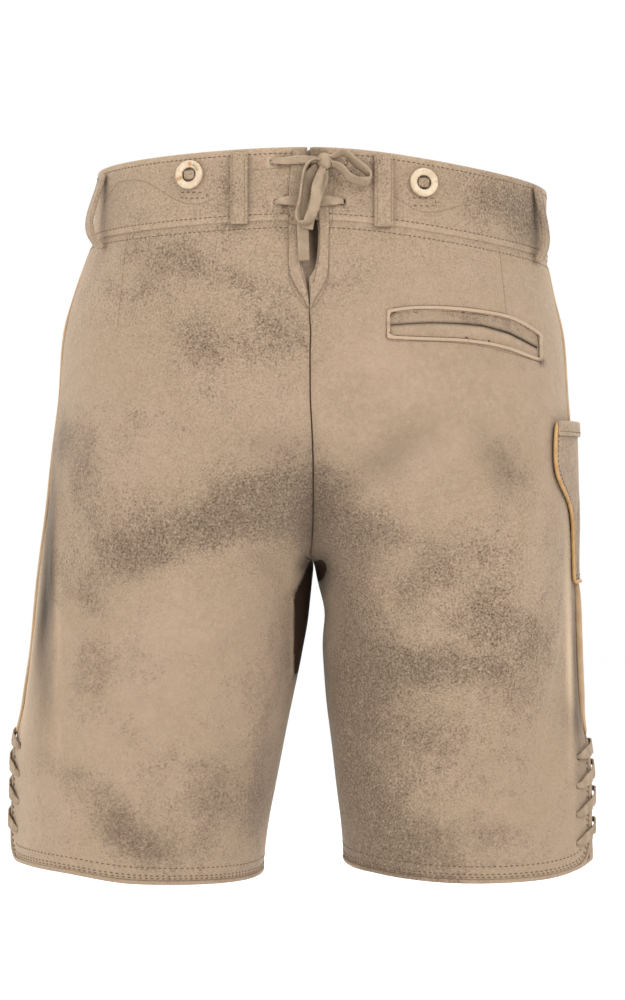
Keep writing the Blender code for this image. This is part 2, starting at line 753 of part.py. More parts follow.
def make_lace(name, points, outs, halves):
    """A flat strip through the points. It keeps its width in the leather's surface, and so turns
    edge over edge where it goes through a hole."""
    points = np.array(points)
    steps = np.gradient(points, axis=0)
    across = np.cross(np.array(outs), steps)
    weak = np.linalg.norm(across, axis=1) < 0.35 * np.linalg.norm(steps, axis=1)
    across /= np.linalg.norm(across, axis=1)[:, None]
    for k in range(1, len(across)):
        if weak[k]:
            across[k] = across[k - 1]
        if across[k] @ across[k - 1] < 0:
            across[k] = -across[k]
    for _ in range(2):
        across[1:-1] = (across[:-2] + 2 * across[1:-1] + across[2:]) / 4
        across /= np.linalg.norm(across, axis=1)[:, None]
    stations = []
    for point, direction, step, half in zip(points, across, steps, halves):
        stations.append((point, direction, half, np.cross(step, direction)))
    return ribbon(name, stations, LACE_THICKNESS, TRIM_FINISH)


# ---------------------------------------------------------------- loops and buttons


def make_belt_loops():
    """Straps sewn on at the top of the band and just below it."""
    for row in LOOPS:
        loop = dict(zip(LOOP_COLUMNS, row))
        side, face = loop["side"], loop["face"]
        middle = face_angle(side, face, loop["x"], 0)
        top = top_height(side, middle) - loop["top"]
        bottom = top_height(side, middle) - BAND_HEIGHT - loop["bottom"]
        stations = []
        for share in np.linspace(0, 1, 11):
            height = top + (bottom - top) * share
            angle = face_angle(side, face, loop["x"], height)
            belly = loop["bow"] * math.sin(math.pi * share ** loop["low"]) ** 0.6
            out = BAND_OUT + LAYER_GAP + LOOP_THICKNESS / 2 + belly
            across = skin(side, angle + 0.01, height) - skin(side, angle - 0.01, height)
            across /= np.linalg.norm(across)
            point, direction = moved_out(side, angle, height, out), normal(side, angle, height)
            stations.append((point, across, loop["width"] / 2, direction))
        ribbon(loop["name"], stations, LOOP_THICKNESS, SUEDE_FINISH)


def make_buttons():
    """Horn rings, each held by a leather tongue through its hole."""
    thick, hole, radius = BUTTON_THICKNESS, BUTTON_HOLE, BUTTON_RADIUS
    profile = (
        (hole, 0.4), (hole, thick - 1.2), (hole + 1.2, thick - 0.5), (radius - 2.4, thick),
        (radius - 0.4, thick - 0.9), (radius - 0.9, 0.1),
    )
    for row in BUTTONS:
        button = dict(zip(BUTTON_COLUMNS, row))
        seat = button["out"] + LAYER_GAP
        point, out = on_face(button["side"], button["face"], button["x"], button["z"], seat)
        turn = Vector(out).to_track_quat("Z", "Y").to_matrix().to_4x4()
        place = Matrix.Translation(Vector(point) * MM) @ turn
        mesh = bpy.data.meshes.new(button["name"])
        ring = bmesh.new()
        corners = [ring.verts.new((r * MM, 0, h * MM)) for r, h in profile]
        edges = [ring.edges.new((a, b)) for a, b in zip(corners, corners[1:] + corners[:1])]
        bmesh.ops.spin(
            ring,
            geom=corners + edges,
            cent=(0, 0, 0),
            axis=(0, 0, 1),
            angle=math.tau,
            steps=BUTTON_SIDES,
            use_merge=True,
        )
        bmesh.ops.remove_doubles(ring, verts=ring.verts, dist=0.01 * MM)
        bmesh.ops.recalc_face_normals(ring, faces=ring.faces)
        bmesh.ops.transform(ring, matrix=place, verts=ring.verts)
        ring.to_mesh(mesh)
        ring.free()
        mesh.shade_smooth()
        finish(new_object(button["name"], mesh), HORN_FINISH, 0.35)
        make_tongue(button["name"].replace("button", "tongue"), place)


def make_tongue(name, place):
    """The leather that fills a button's hole, flat above and below."""
    mesh = bpy.data.meshes.new(name)
    block = bmesh.new()
    bmesh.ops.create_cube(block, size=1)
    height = BUTTON_THICKNESS - 1.3
    bmesh.ops.scale(block, vec=Vector((8.0, 6.6, height)) * MM, verts=block.verts)
    bmesh.ops.translate(block, vec=(0, 0, height / 2 * MM), verts=block.verts)
    upright = [e for e in block.edges if abs(e.verts[0].co.z - e.verts[1].co.z) > height / 2 * MM]
    bmesh.ops.bevel(
        block, geom=upright, offset=1.9 * MM, segments=2, profile=0.5, affect="EDGES", material=-1
    )
    bmesh.ops.transform(block, matrix=place, verts=block.verts)
    block.to_mesh(mesh)
    block.free()
    finish(new_object(name, mesh), TRIM_FINISH)


# ---------------------------------------------------------------- pockets and flap


def make_flap():
    """The drop front, buttoned at its upper corners."""

    def place(across, down):
        height = FLAP_TOP + (FLAP_BOTTOM - FLAP_TOP) * down
        half = FLAP_HALF_TOP + (FLAP_HALF_BOTTOM - FLAP_HALF_TOP) * down
        half -= 9 * ramp(down, 0.9, 1.0) ** 2
        x = half * (2 * across - 1)
        side = LEFT if x >= 0 else RIGHT
        seam = TOP_AT_FRONT - BAND_HEIGHT
        out = level_out(height, seam) + 2 * LAYER_GAP + FLAP_THICKNESS
        return on_face(side, "front", max(abs(x), 0.05), height, out)

    wall("front_flap", 12, 11, place, FLAP_THICKNESS, SUEDE_FINISH)


POCKET = {
    name: column(POCKET_ROWS, POCKET_COLUMNS, name) for name in ("upper", "slit", "lower")
}
POCKET_START, POCKET_END = POCKET_ROWS[0][0], POCKET_ROWS[-1][0]


def make_hip_pocket(panels):
    """A window in the right back with a raised lip round it and two welts that meet at a slit."""
    inset = POCKET_FRAME
    steps = 15

    def welt(top_edge, bottom_edge):
        def place(across, down):
            x = POCKET_START + inset + (POCKET_END - POCKET_START - 2 * inset) * across
            upper, lower = top_edge(x), bottom_edge(x)
            return on_face(RIGHT, "back", x, upper + (lower - upper) * down, -POCKET_SINK)

        return place

    def above(x):
        return smooth(POCKET["upper"], x) - inset

    def below(x):
        return smooth(POCKET["lower"], x) + inset

    def slit(x):
        return smooth(POCKET["slit"], x)

    gap = 0.45
    upper = welt(lambda x: above(x) - gap, lambda x: slit(x) + gap / 2)
    lower = welt(lambda x: slit(x) - gap / 2, lambda x: below(x) + gap)
    wall("pocket_facing", steps, 2, upper, 1.4, TRIM_FINISH)
    wall("pocket_welt", steps, 2, lower, 1.4, TRIM_FINISH)

    xs = np.linspace(POCKET_START + inset - gap, POCKET_END - inset + gap, steps + 1)
    outline = [(x, above(x)) for x in xs] + [(x, below(x)) for x in xs[::-1]]
    shapes = bmesh.new()
    rings = []
    for out in (26, -26):
        corners = []
        for x, height in outline:
            point, _ = on_face(RIGHT, "back", x, height, out)
            corners.append(shapes.verts.new(Vector(point) * MM))
        rings.append([shapes.edges.new((a, b)) for a, b in zip(corners, corners[1:] + corners[:1])])
    bmesh.ops.bridge_loops(shapes, edges=rings[0] + rings[1])
    bmesh.ops.holes_fill(shapes, edges=shapes.edges, sides=0)
    bmesh.ops.recalc_face_normals(shapes, faces=shapes.faces)
    cut(panels["back", RIGHT], cutter("pocket_window", shapes))

    frame = []
    middle = POCKET_FRAME / 2
    for x in np.linspace(POCKET_START + middle, POCKET_END - middle, 16):
        frame.append((x, smooth(POCKET["upper"], x) - middle))
    for x in np.linspace(POCKET_END - middle, POCKET_START + middle, 16):
        frame.append((x, smooth(POCKET["lower"], x) + middle))
    frame.append(frame[0])
    make_pocket_lip(frame)


def make_pocket_lip(route):
    """The raised, stitched lip: a closed ribbon whose two ends are one."""
    mesh = bpy.data.meshes.new("pocket_lip")
    loop = bmesh.new()
    half = POCKET_FRAME / 2 - 0.25
    rings = []
    places = [np.array(p) for p in route[:-1]]
    for k, place in enumerate(places):
        before, after = places[k - 1], places[(k + 1) % len(places)]
        first = (place - before) / np.linalg.norm(place - before)
        second = (after - place) / np.linalg.norm(after - place)
        side = np.array((-(first + second)[1], (first + second)[0]))
        side /= max(abs(side @ np.array((-first[1], first[0]))), 1e-6)
        ring = []
        for reach, out in ((half, 0.0), (half, 1.1), (-half, 1.1), (-half, 0.0)):
            x, z = place + side * reach
            point, _ = on_face(RIGHT, "back", x, z, LAYER_GAP + out)
            ring.append(loop.verts.new(Vector(point) * MM))
        rings.append([loop.edges.new((a, b)) for a, b in zip(ring, ring[1:] + ring[:1])])
    for first, second in zip(rings, rings[1:] + rings[:1]):
        bmesh.ops.bridge_loops(loop, edges=first + second)
    bmesh.ops.recalc_face_normals(loop, faces=loop.faces)
    loop.to_mesh(mesh)
    loop.free()
    finish(new_object("pocket_lip", mesh), SUEDE_FINISH)


KNIFE_BEHIND = column(KNIFE_ROWS, KNIFE_COLUMNS, "behind")
KNIFE_BEFORE = column(KNIFE_ROWS, KNIFE_COLUMNS, "before")


def knife_place(across, down, out, bow=1.0):
    """A point of the knife pocket: across from its back edge to its front edge."""
    height = KNIFE_TOP + (KNIFE_BOTTOM - KNIFE_TOP) * down
    behind, before = smooth(KNIFE_BEHIND, down), smooth(KNIFE_BEFORE, down)
    away = behind - (behind + before) * across
    belly = KNIFE_BOW * bow * (1 - (2 * across - 1) ** 2) * (1 - ramp(down, 0.55, 1.0))
    over_piping = 2.0 * math.exp(-((away / 9) ** 2))
    return side_place(RIGHT, away, height, out + belly + over_piping)


def make_knife_pocket():
    """The pocket over the right side seam, with a turned top and an ochre edge."""
    thick = 1.6

    def bag(across, down):
        return knife_place(across, down, LAYER_GAP + thick)

    wall("knife_pocket", 8, 12, bag, thick, SUEDE_FINISH)

    def hem(across, down):
        share = down * KNIFE_HEM / (KNIFE_TOP - KNIFE_BOTTOM)
        return knife_place(across, share, 2 * LAYER_GAP + thick + 1.6)

    wall("knife_pocket_hem", 8, 1, hem, 1.6, SUEDE_FINISH)

    route = []
    for down in np.linspace(0.0, 1.0, 15):
        route.append((smooth(KNIFE_BEHIND, down) + 2.7, down))
    behind, before = KNIFE_ROWS[-1][1:]
    below = 1.0 + 2.5 / (KNIFE_TOP - KNIFE_BOTTOM)
    bottom = [(away, below) for away in np.linspace(behind + 1.3, -before - 1.3, 7)]
    front = [(-smooth(KNIFE_BEFORE, down) - 2.2, down) for down in np.linspace(1.0, 0.0, 15)]
    points = []
    for away, down in route + bottom + front:
        height = KNIFE_TOP + (KNIFE_BOTTOM - KNIFE_TOP) * down
        over_piping = 2.0 * math.exp(-((away / 8) ** 2))
        out = PIPING_RADIUS + 2 * LAYER_GAP + over_piping
        points.append(side_place(RIGHT, away, height, out)[0])
    tube("knife_pocket_piping", points, PIPING_RADIUS, PIPING_FINISH)


# ---------------------------------------------------------------- the back lace and its bow


def make_back_lace(bands, knot_room):
    """The lace through four holes in the band, from the knot and back to it."""
    over = BAND_OUT + 1.2 + 2 * LAYER_GAP + LACE_THICKNESS / 2
    under = BAND_OUT - BAND_THICKNESS - LAYER_GAP - LACE_THICKNESS / 2
    within = BAND_OUT - BAND_THICKNESS / 2
    half, neck = LACE_WIDTH / 2, LACE_NECK / 2
    ul, ll = LACE_HOLES["upper_left"], LACE_HOLES["lower_left"]
    lr, ur = LACE_HOLES["lower_right"], LACE_HOLES["upper_right"]
    keys = [
        (KNOT_X + 3.4, KNOT_Z + 0.8, KNOT_OUT - 2.3, half * 0.6),
        (-0.5, KNOT_Z + 1.8, over + 1.0, half * 0.6),
        (8, KNOT_Z + 2, over + 0.3, half * 0.8),
        (18, ul[1], over + 0.2, half * 0.7),
        (ul[0] - 0.5, ul[1], over - 0.8, neck),
        (ul[0], ul[1], within, neck),
        (ul[0], ul[1] - 0.5, under, neck),
        ((ul[0] + ll[0]) / 2, (ul[1] + ll[1]) / 2, under - 0.6, half * 0.8),
        (ll[0], ll[1] + 0.5, under, neck),
        (ll[0], ll[1], within, neck),
        (ll[0] - 0.5, ll[1], over - 0.8, neck),
        (14, ll[1], over, half * 0.9),
        (2, ll[1] - 0.5, over, half),
        (-11, lr[1], over, half * 0.9),
        (lr[0] + 0.5, lr[1], over - 0.8, neck),
        (lr[0], lr[1], within, neck),
        (lr[0], lr[1] + 0.5, under, neck),
        ((lr[0] + ur[0]) / 2, (lr[1] + ur[1]) / 2, under - 0.6, half * 0.8),
        (ur[0], ur[1] - 0.5, under, neck),
        (ur[0], ur[1], within, neck),
        (ur[0] + 0.5, ur[1], over - 0.8, neck),
        (KNOT_X - 7.2, KNOT_Z, over + 1.0, half * 0.6),
        (KNOT_X - 3.4, KNOT_Z, KNOT_OUT - 2.3, half * 0.6),
    ]
    route = through(keys, 72)
    points, outs = zip(*(on_back(x, z, o) for x, z, o, _ in route))
    cut(make_lace("back_lace", points, outs, route[:, 3]), knot_room)
    for side in (LEFT, RIGHT):
        holes = [p for p in LACE_HOLES.values() if (p[0] > 0) == (side == LEFT)]
        drill(bands["back", side], [on_back(x, z, within) for x, z in holes], LACE_HOLE_RADIUS)


# Each strand of the bow: (x, z, distance out from the panels), with x positive to the left
BOW_STRANDS = {
    "bow_loop_right": (
        (-11.6, 21.8, 9.2), (-16.0, 24.0, 10.2), (-22, 26.2, 10.4), (-27.8, 20.5, 10.6),
        (-36, 13.6, 10.8), (-39.6, 8.4, 10.6), (-37, 5.4, 10.6), (-31, 5.4, 10.6),
        (-24.2, 9.2, 10.6), (-20.6, 14.6, 10.4), (-16.0, 17.4, 10.2), (-11.6, 18.8, 9.2),
    ),
    "bow_loop_left": (
        (-5.0, 20.8, 10.4), (-0.4, 20.6, 11.6), (4.5, 16, 11.9), (7, 4.1, 11.9),
        (8.4, -9, 11.9), (10, -19.6, 11.9), (7.6, -24.8, 12.0), (3.8, -23.6, 12.2),
        (-0.2, -16.5, 12.8), (-2.2, -8, 12.8), (-3.2, 2, 12.4), (-5.6, 11.0, 11.4),
        (-7.4, 15.6, 10.2),
    ),
    "lace_tail_left": (
        (-3.4, 17.2, 7.0), (-0.4, 14.4, 6.6), (2.6, 9.5, 6.2), (4.9, 0, 6.0), (6.2, -10, 5.9),
        (7.0, -18, 5.2), (6.6, -30, 4.8), (6.0, -49.7, 4.6),
    ),
    "lace_tail_right": (
        (-8.8, 15.6, 7.2), (-7.8, 10.5, 7.0), (-6.2, 5, 7.1), (-3.6, -3, 7.6), (-0.8, -11, 7.9),
        (2.0, -19, 7.5), (3.6, -28, 6.9),
    ),
}
# Which way each strand's width points at its start and at its end, as (out, up, left)
BOW_WIDTHS = {
    "bow_loop_right": ((0.8, 0.6, 0.0), (0.8, 0.6, 0.0)),
    "bow_loop_left": ((1.0, 0.0, 0.1), (0.35, 0.0, 1.0)),
    "lace_tail_left": ((0.15, 0.0, 1.0), (0.0, 0.0, 1.0)),
    "lace_tail_right": ((0.1, 0.0, 1.0), (0.0, 0.0, 1.0)),
}


def make_bow(knot_room):
    """Two loops and two free ends, which the knot holds."""
    for name, keys in BOW_STRANDS.items():
        tail = name.startswith("lace_tail")
        route = through(keys, 14 if tail else 26)
        points, outs = zip(*(on_back(x, z, o) for x, z, o in route))
        points = np.array(points)
        steps = np.gradient(points, axis=0)
        first, last = (np.array(width) for width in BOW_WIDTHS[name])
        stations = []
        for k, (point, out, step) in enumerate(zip(points, outs, steps)):
            share = k / (len(points) - 1)
            out_share, up_share, left_share = first + (last - first) * ramp(share, 0.3, 0.75)
            left = np.cross(out, (0, 0, 1))
            across = out_share * out + up_share * np.array((0, 0, 1)) + left_share * left
            along = step / np.linalg.norm(step)
            across -= along * (across @ along)
            across /= np.linalg.norm(across)
            pinched = min(1, share * 6) if tail else min(1, share * 6, (1 - share) * 6)
            half = LACE_WIDTH / 2 * (0.55 + 0.45 * pinched)
            stations.append((point, across, half, np.cross(along, across)))
        cut(ribbon(name, stations, LACE_THICKNESS, TRIM_FINISH), knot_room)


def knot_ball(gap):
    """A flattened ball in the knot's place, larger than the knot by a gap."""
    point, out = on_back(KNOT_X, KNOT_Z, KNOT_OUT)
    turn = Vector(out).to_track_quat("Z", "Y").to_matrix().to_4x4()
    ball = bmesh.new()
    bmesh.ops.create_uvsphere(ball, u_segments=10, v_segments=7, radius=MM)
    bmesh.ops.scale(ball, vec=[radius + gap for radius in KNOT_RADII], verts=ball.verts)
    place = Matrix.Translation(Vector(point) * MM) @ turn
    bmesh.ops.transform(ball, matrix=place, verts=ball.verts)
    return ball


def make_knot():
    """The knot, and the room round it that the strands stop at."""
    mesh = bpy.data.meshes.new("bow_knot")
    ball = knot_ball(0)
    ball.to_mesh(mesh)
    ball.free()
    mesh.shade_smooth()
    finish(new_object("bow_knot", mesh), TRIM_FINISH)
    return cutter("knot_room", knot_ball(KNOT_GAP))


# ---------------------------------------------------------------- all of it


def start_scene():
    for obj in list(bpy.data.objects):
        bpy.data.objects.remove(obj, do_unlink=True)
    for name in ("lederhosen", "cutters"):
        collection = bpy.data.collections.new(name)
        bpy.context.scene.collection.children.link(collection)


def main():
    start_scene()
    panels = make_panels()
    bands = make_bands()
    make_vent()
    make_piping()
    make_hem_bars()
    make_side_laces(panels)
    make_belt_loops()
    make_buttons()
    make_flap()
    make_hip_pocket(panels)
    make_knife_pocket()
    knot_room = make_knot()
    make_back_lace(bands, knot_room)
    make_bow(knot_room)


main()
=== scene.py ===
"""Looks of the short lederhosen: nubuck suede, seams, stitching, laces, horn buttons and piping.

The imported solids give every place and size. Each wall of leather is the outer side of its solid,
made finer, creased, and given its thickness again. Lengths in the tables are in millimetres.
+Z is up, the wearer's front faces -Y and the wearer's left is +X.
"""

import math

import bmesh
import bpy
import numpy as np
from bpy.props import FloatProperty, FloatVectorProperty, IntProperty, PointerProperty
from mathutils import Matrix, Vector, noise
from mathutils.bvhtree import BVHTree


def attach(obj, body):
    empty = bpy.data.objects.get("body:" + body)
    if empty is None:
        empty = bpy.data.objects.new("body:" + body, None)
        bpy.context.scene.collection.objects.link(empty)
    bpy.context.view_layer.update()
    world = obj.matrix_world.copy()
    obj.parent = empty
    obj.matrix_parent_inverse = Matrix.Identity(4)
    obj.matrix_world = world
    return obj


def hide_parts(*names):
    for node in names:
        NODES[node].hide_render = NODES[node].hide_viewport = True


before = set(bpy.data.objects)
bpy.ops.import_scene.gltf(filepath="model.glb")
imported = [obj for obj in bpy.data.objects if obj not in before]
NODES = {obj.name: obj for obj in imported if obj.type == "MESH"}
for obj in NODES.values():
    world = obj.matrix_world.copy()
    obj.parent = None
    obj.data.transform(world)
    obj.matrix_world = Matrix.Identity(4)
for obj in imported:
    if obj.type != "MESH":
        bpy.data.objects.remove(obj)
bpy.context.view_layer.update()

bl_info = {
    "name": "Lederhosen looks",
    "version": (1, 0, 0),
    "blender": (4, 5, 0),
    "location": "3D View > Sidebar > Lederhosen",
    "description": "Dresses the packed lederhosen in suede, stitching, laces and horn buttons",
    "category": "Object",
}

MM = 0.001
LEFT, RIGHT = 1, -1
BODY = "root"
SIDES = ("left", "right")
EYE = Vector((0, 2.4, -0.216))  # where the camera stands, straight behind

# ---------------------------------------------------------------- tables

# Soft creases in the leather. On the back and the front u is the distance from the middle, on the
# side it is Y. A positive depth is a ridge.
# Columns: from u, z, to u, z, width, depth, bow
FOLD = 2.0  # how much deeper the creases are than the table says
CREASES = {
    (LEFT, "back"): (
        (132.5, -26, 139, -88, 3.2, 0.7, 0), (191, -180, 193, -350, 5, -1.35, 2),
        (182.5, -196, 183.5, -350, 3, 0.8, 2), (20, -90, 46, -170, 9, -0.9, 5),
        (110, -236, 88, -300, 9, 1.4, -5), (8, -300, 20, -430, 7, 1.3, 3),
        (16, -250, 70, -226, 6, -1.8, -4), (20, -274, 48, -250, 5, -1.4, 2),
        (24, -310, 66, -330, 6, -1.6, 5), (34, -346, 58, -420, 8, 1.3, -4),
        (104, -262, 158, -290, 8, -1.6, -4), (156, -196, 168, -262, 7, -1.3, 3),
        (172, -318, 160, -412, 7, 1.5, -4), (120, -426, 160, -452, 7, -1.3, 3),
        (70, -96, 118, -118, 9, 1, 3), (60, -48, 30, -62, 5, -1.1, 2),
        (110, -40, 128, -90, 7, 0.9, 3),
    ),
    (LEFT, "front"): (
        (150, -96, 84, -150, 7, -1.6, 5), (120, -196, 40, -250, 7, -2, -6),
        (100, -236, 36, -276, 6, 1.6, 4), (96, -316, 60, -420, 8, -1.6, 7),
        (170, -300, 164, -420, 7, -1.4, 4), (60, -440, 130, -456, 9, 1.2, 3),
    ),
    (LEFT, "side"): (
        (-30, -90, 22, -120, 8, -1.3, 3), (-48, -210, 6, -252, 8, -1.7, -4),
        (-36, -300, -14, -372, 8, 1.5, 5),
    ),
    (RIGHT, "back"): (
        (158, -200, 138, -360, 7, 1.5, -6), (30, -190, 64, -216, 7, -1.3, 3),
        (88, -196, 128, -214, 5, -0.9, 2), (12, -300, 22, -440, 8, 1.2, 4),
        (133.5, -36, 139, -83, 3.2, 0.7, 0), (183, -262, 184, -384, 3, 0.55, 0),
        (62, -296, 100, -246, 5, -1.6, 3), (150, -300, 112, -420, 6, -1.8, -6),
        (30, -262, 66, -300, 6, -1.6, 4), (20, -330, 62, -352, 7, -1.5, -3),
        (34, -372, 84, -402, 8, 1.4, 4), (14, -246, 58, -236, 6, -1.5, 2),
        (138, -150, 118, -214, 8, 1.3, 5), (74, -126, 138, -136, 9, -1, -3),
        (96, -428, 150, -446, 9, 1.1, 3), (176, -262, 160, -372, 6, 1.5, 4),
        (60, -44, 92, -62, 6, -0.9, 2),
    ),
    (RIGHT, "front"): (
        (150, -104, 80, -158, 7, -1.6, 5), (124, -186, 44, -246, 7, -2, -5),
        (92, -240, 34, -270, 6, 1.6, 4), (90, -310, 54, -410, 8, -1.6, 6),
        (166, -290, 156, -410, 7, -1.4, 4), (66, -436, 126, -452, 9, 1.2, 3),
    ),
    (RIGHT, "side"): (
        (-34, -96, 20, -120, 8, -1.3, 3), (-50, -216, -6, -262, 8, -1.7, -4),
        (-40, -310, -18, -376, 8, 1.5, 5),
    ),
}

# Where the nap is worn and darkened, and some painted shade and painted highlight along folds, pale
# where the strength is negative: soft ovals, each turned from the X axis
# Columns: x, z, long, wide, turn, strength
SPREAD = 1.35  # how far each oval fades out
STAINS_AND_SHADE = {
    "back": (
        (36, -216, 34, 13, -13, 0.95), (122, -254, 20, 11, 10, 0.7), (158, -284, 20, 12, 30, 0.5),
        (84, -240, 26, 10, -20, 0.5), (-2, -236, 26, 17, 90, 0.85), (-22, -290, 28, 14, 90, 0.75),
        (-30, -349, 24, 20, 90, 0.8), (-24, -404, 36, 13, 90, 0.75), (-44, -450, 24, 16, 60, 1),
        (-70, -466, 30, 12, 0, 0.6), (-50, -238, 26, 10, 5, 0.65), (-78, -270, 22, 8, 125, 0.5),
        (-118, -290, 18, 11, 90, 0.55), (-154, -310, 13, 8, 75, 0.75),
        (-141, -350, 14, 9, 80, 0.45), (-96, -334, 32, 8, 2, 0.55), (-58, -332, 20, 9, 5, 0.6),
        (-78, -377, 15, 11, 90, 0.4), (-170, -237, 24, 7, 80, 0.35),
        (-160, -240, 50, 6, 100, -0.45), (-136, -186, 16, 11, 70, 0.4),
        (-118, -118, 16, 7, 0, 0.35), (-28, -68, 18, 7, -35, 0.35), (76, -100, 20, 13, 0, 0.55),
        (16, -104, 17, 14, 90, 0.5), (60, -58, 24, 6, 14, 0.45), (96, -41, 10, 7, 0, 0.6),
        (126, -52, 16, 18, 0, 0.4), (176, -174, 15, 9, 60, 0.65), (160, -216, 15, 9, 90, 0.35),
        (156, -345, 20, 9, 90, 0.45), (139, -444, 22, 8, 48, 0.75), (112, -462, 22, 9, 10, 0.45),
        (71, -426, 14, 11, 90, 0.4), (34, -440, 22, 9, 80, 0.5), (176, -408, 16, 6, 20, 0.4),
        (-134, -2, 22, 12, 20, 0.75), (-156, -24, 14, 9, 90, 0.7), (-22, 12, 10, 8, 0, 0.6),
        (20, -14, 12, 7, 90, 0.5), (58, -4, 16, 7, 90, 0.4), (140, 6, 12, 10, 90, 0.35),
        (94, -268, 14, 10, 0, -0.45), (110, -302, 34, 10, 0, -0.3), (158, -406, 20, 14, 90, -0.25),
        (-74, -146, 40, 44, 90, -0.4), (-164, -60, 20, 10, 90, -0.3), (-88, -232, 14, 12, 0, -0.3),
        (106, -188, 14, 9, 0, -0.25), (60, -430, 60, 40, 0, 0.22), (-80, -420, 60, 50, 0, 0.25),
        (-130, -210, 40, 60, 0, 0.16), (120, -200, 50, 60, 0, 0.16),
    ),
    "front": (
        (30, -232, 34, 15, 20, 0.85), (-28, -236, 30, 15, -20, 0.75), (96, -262, 30, 14, 20, 0.65),
        (-104, -258, 28, 13, -25, 0.6), (30, -340, 40, 15, 90, 0.65), (-30, -370, 44, 14, 90, 0.7),
        (128, -186, 20, 13, 40, 0.5), (-132, -170, 22, 12, 130, 0.5),
        (140, -420, 26, 12, 60, 0.55), (-120, -440, 30, 14, 10, 0.6), (0, -110, 26, 18, 0, 0.4),
        (84, -52, 22, 9, 0, 0.45), (-100, -48, 24, 9, 0, 0.45),
    ),
}

# Where the leather shows its grain strongly, or hardly at all, in the same columns
GRAIN = {
    "back": (
        (0, 0, 200, 40, 0, 0.75), (156, -75, 14, 26, 90, 0.7), (52, -104, 34, 38, 0, 0.75),
        (90, -238, 84, 26, -8, 0.7), (-140, -284, 36, 44, 0, 0.8), (-64, -314, 40, 54, 0, 0.55),
        (-44, -424, 20, 38, 90, 0.6), (-98, -162, 56, 50, 0, -0.55),
        (-150, -430, 30, 40, 90, -0.5), (100, -340, 80, 60, 0, -0.45),
        (-150, -110, 20, 30, 0, -0.4),
    ),
    "front": (
        (20, -200, 90, 70, 0, 0.4), (90, -380, 60, 60, 0, -0.3),
    ),
}

# Painted shade in the grooves beside the side seams, between the legs, in the back opening and in
# holes, and painted highlight on ridges where the strength is negative, in the same columns. The
# "seen" places are given as in FREE_ROWS.
PAINTED_SHADE_AND_LIGHT = {
    "seen": (
        (195, -252, 50, 3.6, 93, 0.95), (199.5, -304, 24, 3.2, 99, 0.45),
        (196.5, -352, 20, 4.5, 92, 0.28), (188.8, -272, 64, 1.5, 90, -0.3),
        (205.4, -288, 50, 1.7, 95.8, -0.85), (-195, -330, 42, 1.9, 88.3, 0.95),
        (-193, -380, 10, 4.5, 70, 0.35), (-190, -322, 38, 1.3, 89, -0.85),
        (20.7, 3.2, 1.5, 1.5, 0, 1.5), (-22.4, 4.5, 1.5, 1.8, 0, 1.5),
        (22.2, 34.9, 1.4, 1.4, 0, 1.2), (-169.6, -113.6, 1.3, 1.3, 0, 1.2),
        (-6.4, -270, 8, 4, 96, 1.25), (0.6, -265, 4.5, 2.6, 0, 0.95),
        (-9.5, -306, 17, 4.5, 92, -0.45), (14.5, -269, 12, 5, 90, -0.45),
    ),
    "back": (
        (0, 26, 14, 5, 90, 0.5), (-4, -226, 16, 9, 90, 0.4), (12.5, -320, 26, 8, 90, 0.35),
        (-54, -184, 22, 8, -35, 0.3), (-128, -190, 15, 6, 60, 0.25), (24, -178, 16, 8, 0, 0.22),
    ),
}
# The inside of the left leg as it is seen behind its back panel, painted in shade, with a painted
# highlight on the panel's edge before it: the panel's edge, the level where it shows at the edge
# and at the middle, and where it ends
INSIDE_EDGE, INSIDE_TOPS, INSIDE_END = 14.3, (-284.6, -256), -352
INSIDE_DARK, INSIDE_PALE = 1.15, 0.3  # how dark it is, and how pale the panel's edge before it
# The seam down the middle of the back, from the opening to between the legs, as in FREE_ROWS
SEAM = ((2.6, -77), (1.3, -90), (1.8, -105), (1.8, -120), (1.6, -142), (0.4, -164), (-0.4, -186),
        (-0.6, -209), (-0.4, -231), (0.5, -249), (1.8, -260))
SEAM_APART, SEAM_DIP = 0.72, 1.0  # how far each of its sides is drawn apart, and in
SEAM_REACH, SEAM_DARK = 1.7, 1.3  # how wide its groove is to each side, and how dark its painted shade is
DEEP_SHADE, DEEP_SHADE_REACH = 0.9, 40  # panels painted this dark, this near the middle, take the suede in painted deep shade
FLAT_TOP = (0.020, 0.045)  # below the origin, in metres: where the creases of a panel set in
VENT_APART = 3.6  # how far each side of the back opening is drawn apart
GUSSET_LIFT = (4.6, 4.0)  # how far the gusset's top is lifted up, and out
GAP_MOVED = 1.2  # how far the top of the gap between the legs is moved to the right
LEG_DRAWN_IN = 2.2  # and how far the right leg is drawn in below it
BETWEEN_LEGS = (26, -345, -257)  # how wide, and between which heights, the panels are cut finer
PALE_EDGE_REACH = 2.4  # how far in from an edge the leather is rubbed pale and painted with highlight
# The seat pocket's slit: (x, z), and how dark its painted shade is from its inner to its outer end
SLIT = ((-51.5, -94.2), (-66, -93), (-81, -92), (-100, -92.1), (-120, -93.4), (-139, -98),
        (-152, -103.8), (-163.5, -109))
SLIT_DARK = (0.75, 1.15)
LACE_AWAY = 3.2  # how far the side lacing may stand from the leather before it is drawn in
LACE_SPRING = 0.25  # and how much of what is beyond that it keeps
RUBBED_AND_LIT = {"waistband": 0.34, "front_flap": 0.2, "knife_pocket": 0.2}  # how pale edges are: worn, and painted highlight on their raised rims
# Marks in the horn of one button: what they look like, where, as in FREE_ROWS, and how big
HORN_MARKS = (
    ("amber", 90.9, 32.6, 1.5), ("amber", 86.4, 29.7, 1.1), ("olive", 88.0, 31.6, 1.1),
    ("olive", 85.6, 28.2, 0.9),
)

BANDS = tuple(f"waistband_{face}_{side}" for face in ("back", "front") for side in SIDES)
PANELS = tuple(f"{face}_{side}" for face in ("back", "front") for side in SIDES)
LOOPS = tuple(f"belt_loop_{face}_{side}" for face in ("back", "side", "front") for side in SIDES)

